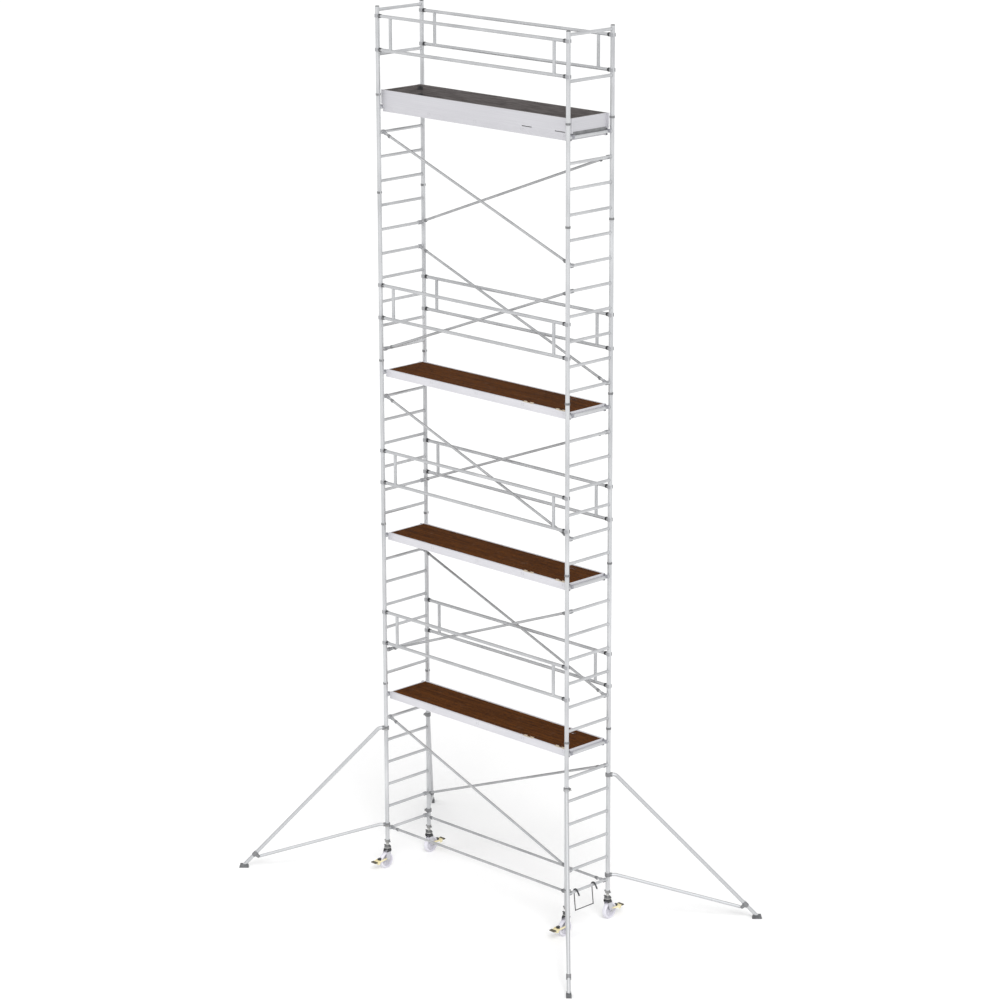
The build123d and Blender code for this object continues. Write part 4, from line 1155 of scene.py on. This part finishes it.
# %% [markdown]
# ## Wing nuts
# A wing nut is turned as a short cone, and each of its wings is the hull of two sections, one at
# the cone and a higher one further out. The bolt's head on the other side is a plain hexagon.


# %% Bolts and wing nuts
def wing_nut(shape, place):
    """Cone-shaped nut with two raised wings."""
    shape.lathe([(0, 0), (0.0085, 0), (0.0062, 0.010), (0, 0.010)], place, 20)
    for side in (-1, 1):
        wing = [
            (side * along, across, rise)
            for along, rises in WING_SECTIONS
            for rise in rises
            for across in (-WING_HALF, WING_HALF)
        ]
        shape.hull(wing, place)


for corner in CORNERS:
    arm = outrigger_place(corner)
    body = f"outrigger_{corner}"
    fittings = Shape()
    for height in (UPPER_COUPLER_Z - BOLT_DROP, LOWER_COUPLER_Z - BOLT_DROP):
        head = arm @ facing((-EAR_FACE_X, EAR_Y, height), (-1, 0, 0))
        hexagon(fittings, head, BOLT_R, BOLT_HEAD)
        wing_nut(fittings, arm @ facing((EAR_FACE_X, EAR_Y, height), (1, 0, 0)))
    make(f"coupler_bolts_{corner}", fittings, zinc_plate, body, 35)
print("coupler bolts at", round(UPPER_COUPLER_Z, 3), "and", round(LOWER_COUPLER_Z, 3))

# %% [markdown]
# ## Rubber feet
# An outrigger's foot is a moulded shoe. Upright ribs on its long sides save rubber and stop it from
# splaying. The ribs are hulls that lean with the shoe's taper.

# %% Mould the ribs
FOOT_REACH, FOOT_SIDE = 1.762, 0.031
FOOT_RIB_PITCH, FOOT_RIB_HALF = 0.0185, 0.002
FOOT_RIB_OUTLINE = (
    (0.024, 0.004),
    (FOOT_SIDE, 0.004),
    (FOOT_SIDE, 0.012),
    (0.0262, 0.038),
    (0.020, 0.038),
)
for corner in CORNERS:
    arm = outrigger_place(corner) @ moved(FOOT_REACH, 0, 0)
    ribs = Shape()
    for step in range(-2, 3):
        middle = step * FOOT_RIB_PITCH
        for side in (-1, 1):
            rib = [
                (middle + along, side * across, rise)
                for along in (-FOOT_RIB_HALF, FOOT_RIB_HALF)
                for across, rise in FOOT_RIB_OUTLINE
            ]
            ribs.hull(rib, arm)
    make(f"foot_ribs_{corner}", ribs, foot_rubber, f"outrigger_{corner}", 30)
print("foot ribs moulded")

# %% [markdown]
# ## Rivets, screws and grips on the platforms
# Cross joists are riveted through the side beams. Plywood is fixed to the ledges with countersunk
# screws whose heads lie almost flush. Hinges are screwed through their leaves, three to a side. The
# hatch's hand hole is edged with a soft black ring. What lies on a lid moves with the lid.

# %% Fix the platforms
BEAM_Y = 0.300
BEAM_INNER_Y = 0.272
JOISTS = (-0.7317, 0.0142, 0.760, 1.420)
HINGES = (0.835, 1.345)
GRIP_X, GRIP_Y, GRIP_HALF, GRIP_R = 1.09, 0.180, 0.038, 0.017
GRIP_EDGE = 0.0015
RIVET_SPOTS = ((-0.016, 0.022), (0.016, 0.022), (-0.016, 0.040), (0.016, 0.040))
RIVET_R, RIVET_HEIGHT = 0.0042, 0.0016
SCREW_Y, SCREW_SINK = BEAM_INNER_Y - 0.012, 0.0006
SCREW_PLACES = [-1.44 + step * 0.268 for step in range(9)]
SCREW_R, SCREW_HEIGHT = 0.0045, 0.0010
LEAF_TOP, LEAF_Y, LID_LEAF_Y = 0.0023, -0.2845, -0.2490
LEAF_SCREW_R, LEAF_SCREW_HEIGHT = 0.0042, 0.0012
for number in PLATFORMS:
    top = deck_top[number]
    rivets, screws, lid_screws, grip = Shape(), Shape(), Shape(), Shape()
    for joist in JOISTS:
        for side in (-1, 1):
            for across, drop in RIVET_SPOTS:
                point = (joist + across, side * (BEAM_Y - 0.0002), top - drop)
                button(rivets, facing(point, (0, side, 0)), RIVET_R, RIVET_HEIGHT, 12)
    for x in SCREW_PLACES + [1.45]:
        for side in (-1, 1):
            place = moved(x, side * SCREW_Y, top - SCREW_SINK)
            button(screws, place, SCREW_R, SCREW_HEIGHT, 12)
    for hinge in HINGES:
        for along in (-0.055, 0.0, 0.055):
            for shape, y in ((screws, LEAF_Y), (lid_screws, LID_LEAF_Y)):
                place = moved(hinge + along, y, top + LEAF_TOP)
                button(shape, place, LEAF_SCREW_R, LEAF_SCREW_HEIGHT, 12)
    ring = []
    for end in (1, -1):
        for step in range(9):
            turn = math.radians(-90 + 22.5 * step)
            x = end * (GRIP_HALF + (GRIP_R + GRIP_EDGE) * math.cos(turn))
            y = end * (GRIP_R + GRIP_EDGE) * math.sin(turn)
            ring.append((GRIP_X + x, GRIP_Y + y, top - 0.0002))
    grip.loop(ring, 0.0018, 8)
    make(f"beam_rivets_{number}", rivets, cast_aluminium, "tower", 40)
    make(f"board_screws_{number}", screws, zinc_plate, "tower", 40)
    make(f"lid_screws_{number}", lid_screws, zinc_plate, f"hatch_{number}", 40)
    make(f"grip_edge_{number}", grip, black_plastic, f"hatch_{number}", 40)
print("platforms fixed:", len(PLATFORMS))

# %% [markdown]
# ## Kick board brackets
# The four kick boards slot together at the corners and are held by folded brackets with a dark
# coat, with two rivets in each leg. A bracket is the corner that two thin chamfered plates make.

# %% Fold the brackets
kick_low, kick_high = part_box("toe_boards")
brackets, bracket_rivets = Shape(), Shape()
PLATE, LEG, RIVET_REACH = 0.0022, 0.045, 0.030
BOARD_THICK = 0.020
BRACKET_LOW, BRACKET_HIGH = 0.020, 0.060
BRACKET_RIVET_R, BRACKET_RIVET_HEIGHT = 0.0040, 0.0015
BRACKET_HEIGHTS = (
    (kick_low.z + BRACKET_LOW, kick_low.z + BRACKET_HIGH),
    (kick_high.z - BRACKET_HIGH, kick_high.z - BRACKET_LOW),
)
for side_x, side_y in CORNERS.values():
    inner_x = side_x * (DECK_END - BOARD_THICK)
    inner_y = side_y * (kick_high.y - BOARD_THICK)
    for low_z, high_z in BRACKET_HEIGHTS:
        for leg_x, leg_y in ((LEG, PLATE), (PLATE, LEG)):
            xs = sorted((inner_x, inner_x - side_x * leg_x))
            ys = sorted((inner_y, inner_y - side_y * leg_y))
            brackets.block((xs[0], ys[0], low_z), (xs[1], ys[1], high_z), 0.0006)
        middle = (low_z + high_z) / 2
        for rise in (-0.010, 0.010):
            for reach_x, reach_y, way in (
                (RIVET_REACH, PLATE * 0.9, (0, -side_y, 0)),
                (PLATE * 0.9, RIVET_REACH, (-side_x, 0, 0)),
            ):
                point = (inner_x - side_x * reach_x, inner_y - side_y * reach_y, middle + rise)
                head = facing(point, way)
                button(bracket_rivets, head, BRACKET_RIVET_R, BRACKET_RIVET_HEIGHT, 12)
make("kick_board_brackets", brackets, stirrup_coat, "tower", 40)
make("kick_board_rivets", bracket_rivets, head_casting, "tower", 40)
print("brackets:", len(CORNERS) * 2)

# %% [markdown]
# ## Stirrup hooks
# The two hooks of the access stirrup carry wide moulded shoes over the rod, so that they grip the
# rung without marking it. Each shoe is a row of short chamfered blocks along the hook's bends, laid
# on its outer side, which keeps them clear of the rung when the stirrup swings.

# %% Shoes on the hooks
ROD_AXIS = RUNG_R + 0.00605
HOOK_PATH = (
    (0.058, -0.0405),
    (ROD_AXIS, ROD_AXIS * 0.4),
    (ROD_AXIS * 0.5, ROD_AXIS),
    (-ROD_AXIS * 0.5, ROD_AXIS),
    (-ROD_AXIS, ROD_AXIS * 0.4),
    (-ROD_AXIS, -0.030),
)
STIRRUP_Y, STIRRUP_HALF = -0.045, 0.150
SHOE_SECTION = ((-0.001, 0.0085), (0.005, 0.0110), (0.0085, 0.0085))
hook_shoes = Shape()
for side in (-1, 1):
    middle_y = STIRRUP_Y + side * STIRRUP_HALF
    for (x0, z0), (x1, z1) in zip(HOOK_PATH, HOOK_PATH[1:]):
        along = Vector((x1 - x0, 0, z1 - z0))
        outward = Vector((along.z, 0, -along.x)).normalized()
        if outward.dot(Vector(((x0 + x1) / 2, 0, (z0 + z1) / 2))) < 0:
            outward.negate()
        points = []
        for x, z in ((x0, z0), (x1, z1)):
            for reach, half in SHOE_SECTION:
                for across in (-half, half):
                    point = Vector((END_X + x, middle_y + across, rung_z(0) + z))
                    points.append(point + outward * reach)
        hook_shoes.hull(points)
make("hook_shoes", hook_shoes, black_plastic, "stirrup", 35)
print("hook shoes placed")

# %% [markdown]
# ## Painted shadow under the kick boards
# A dark grey strip fills the slot between the top platform's end and the rung that carries it. It
# is painted shadow, the shade under the kick board's end. It is a plain extrusion, bevelled along
# its edges.

# %% Paint the shadow strips
SHADOW_STRIP_GAP, SHADOW_STRIP_FACE = 0.0004, 0.0038
SHADOW_STRIP_BELOW, SHADOW_STRIP_ABOVE, SHADOW_STRIP_HALF = 0.045, 0.014, 0.270
shadow_strips = Shape()
for side in (-1, 1):
    xs = sorted((side * (DECK_END + SHADOW_STRIP_GAP), side * (DECK_END + SHADOW_STRIP_FACE)))
    low, high = deck_top[4] - SHADOW_STRIP_BELOW, deck_top[4] + SHADOW_STRIP_ABOVE
    shadow_strips.block((xs[0], -SHADOW_STRIP_HALF, low), (xs[1], SHADOW_STRIP_HALF, high), 0.0008)
# A dark grey block where there is only shade: painted shadow at both ends of the top platform.
make("kick_board_shadow_strips", shadow_strips, grey_plastic, "tower", 35)
print("seals fitted at", round(DECK_END, 4))

# %% [markdown]
# ## Catches on rails and braces
# Each guard rail claw is opened with a black push button beside the sleeve. Each brace has a black
# slide near its end that draws the catch back. They are small, but their even rhythm up the tower
# is part of its look. A slide follows its brace, so it is placed along the line between two rungs.

# %% Buttons and slides
RAIL_LIFTS = (0.672, 1.060)
BRACE_Y = 0.285
DECK_TOP_LIFT = 0.040
FRONT_BRACES = ((5, 1), (8, 12), (19, 15), (21, 25), (30, 26), (0, 0))
BACK_BRACES = ((1, 5), (12, 8), (15, 19), (25, 21), (26, 30), (0, 0))
CATCH_X = END_X - 0.052
CATCH_FACES = (0.019, 0.0245)
SLIDE_PLACE, SLIDE_HALF = 0.115, 0.020
SLIDE_OUTLINE = [
    (0.0150, 0),
    (0.0172, 0.002),
    (0.0180, 0.012),
    (0.0180, 0.030),
    (0.0168, 0.040),
    (0.0150, 0.040),
]
catches = Shape()
for number in PLATFORMS:
    for lift in RAIL_LIFTS:
        height = deck_top[number] - DECK_TOP_LIFT + lift
        for side_x, side_y in CORNERS.values():
            catch = moved(side_x * CATCH_X, side_y * SIDE_Y, height)
            y = sorted(side_y * face for face in CATCH_FACES)
            catches.block((-0.008, y[0], -0.010), (0.008, y[1], 0.010), 0.0015, catch)
for side_y, braces in ((-1, FRONT_BRACES), (1, BACK_BRACES)):
    for left, right in braces:
        start = Vector((-END_X, side_y * BRACE_Y, rung_z(left)))
        end = Vector((END_X, side_y * BRACE_Y, rung_z(right)))
        along = (end - start).normalized()
        for point, way in ((start, along), (end, -along)):
            middle = point + way * SLIDE_PLACE
            sleeve = facing(middle - way * SLIDE_HALF, way)
            catches.lathe(SLIDE_OUTLINE, sleeve, 20)
            catches.block((-0.006, -0.0235, 0.008), (0.006, -0.0165, 0.032), 0.001, sleeve)
make("catches", catches, grey_plastic, "tower", 35)
print("catches placed:", len(PLATFORMS) * 8 + 4 * len(FRONT_BRACES))

# %% [markdown]
# ## Floor
# The floor is plain and pale, and so wide that its edge never comes near. A faint glow of its own
# softens the shadow that the tower throws on it. It is a stage and not a part of the tower.

# %% Floor
floor_mesh = bpy.data.meshes.new("floor")
FLOOR_HALF = 400.0
FLOOR_CORNERS = ((-1, -1), (1, -1), (1, 1), (-1, 1))
floor_corners = [(x * FLOOR_HALF, y * FLOOR_HALF, 0) for x, y in FLOOR_CORNERS]
floor_mesh.from_pydata(floor_corners, [], [(0, 1, 2, 3)])
floor = bpy.data.objects.new("floor", floor_mesh)
floor_paint = Finish(
    "floor_paint",
    Base_Color=tint(0.95, 0.95, 0.95),
    Roughness=0.9,
    Emission_Color=tint(1.0, 1.0, 1.0),
    Emission_Strength=0.07,
)
floor_mesh.materials.append(floor_paint.material)
bpy.context.scene.collection.objects.link(floor)
print("floor spans", 2 * FLOOR_HALF, "m")

# %% [markdown]
# ## Lamps
# A tube looks round only if light falls on it unevenly. A pale world fills the shadows, the sun is
# wide enough to blur its own shadow, and a square lamp lifts the side towards the camera. Fewer
# lamps are easier to judge, so there are just these.

# %% Lamps
world = bpy.data.worlds.new("studio")
world.use_nodes = True
world.node_tree.nodes["Background"].inputs["Color"].default_value = tint(1.0, 1.0, 1.0)
world.node_tree.nodes["Background"].inputs["Strength"].default_value = 0.70
bpy.context.scene.world = world
bpy.context.scene.view_settings.view_transform = "Standard"


def soft_lamp(name, place, size, power):
    """Square lamp aimed at the middle of the tower."""
    lamp = bpy.data.lights.new(name, "AREA")
    lamp.size = size
    lamp.energy = power
    holder = bpy.data.objects.new(name, lamp)
    holder.location = place
    aim = Vector((0, 0, POST_TOP / 2)) - Vector(place)
    holder.rotation_euler = aim.to_track_quat("-Z", "Y").to_euler()
    bpy.context.scene.collection.objects.link(holder)


soft_lamp("key_lamp", (-6.0, -16.0, 18.0), 8.0, 500.0)
sun = bpy.data.lights.new("soft_sun", "SUN")
sun.energy = 1.65
sun.angle = math.radians(35)
sun_holder = bpy.data.objects.new("soft_sun", sun)
sun_holder.rotation_euler = Vector((-0.66, 0.48, -0.80)).to_track_quat("-Z", "Y").to_euler()
bpy.context.scene.collection.objects.link(sun_holder)

print("lamps hung:", [item.name for item in bpy.data.lights])

# %% [markdown]
# ## Camera
# The tower is over ten metres high. A long lens from nearly forty metres away keeps its posts
# almost parallel. Its place, its turn and its lens are given as plain numbers, and three axes built
# from two angles and a small roll make its matrix.

# %% Camera
CAMERA_AZIMUTH = math.radians(45.166)
CAMERA_ELEVATION = math.radians(15.549)
CAMERA_ROLL = math.radians(-0.17)
CAMERA_PLACE = Vector((27.296, -27.043, 15.582))
LENS = 123.354

back = Vector(
    (
        math.sin(CAMERA_AZIMUTH) * math.cos(CAMERA_ELEVATION),
        -math.cos(CAMERA_AZIMUTH) * math.cos(CAMERA_ELEVATION),
        math.sin(CAMERA_ELEVATION),
    )
)
level = Vector((math.cos(CAMERA_AZIMUTH), math.sin(CAMERA_AZIMUTH), 0.0))
upright = back.cross(level)
right = level * math.cos(CAMERA_ROLL) + upright * math.sin(CAMERA_ROLL)
up = upright * math.cos(CAMERA_ROLL) - level * math.sin(CAMERA_ROLL)
camera_data = bpy.data.cameras.new("camera")
camera_data.lens = LENS
camera_data.clip_end = 1000.0
camera = bpy.data.objects.new("camera", camera_data)
bpy.context.scene.collection.objects.link(camera)
camera_turn = Matrix((right, up, back)).transposed().to_4x4()
camera.matrix_world = Matrix.Translation(CAMERA_PLACE) @ camera_turn
bpy.context.scene.camera = camera
print("camera stands at", tuple(CAMERA_PLACE), "with a lens of", LENS)

# %% [markdown]
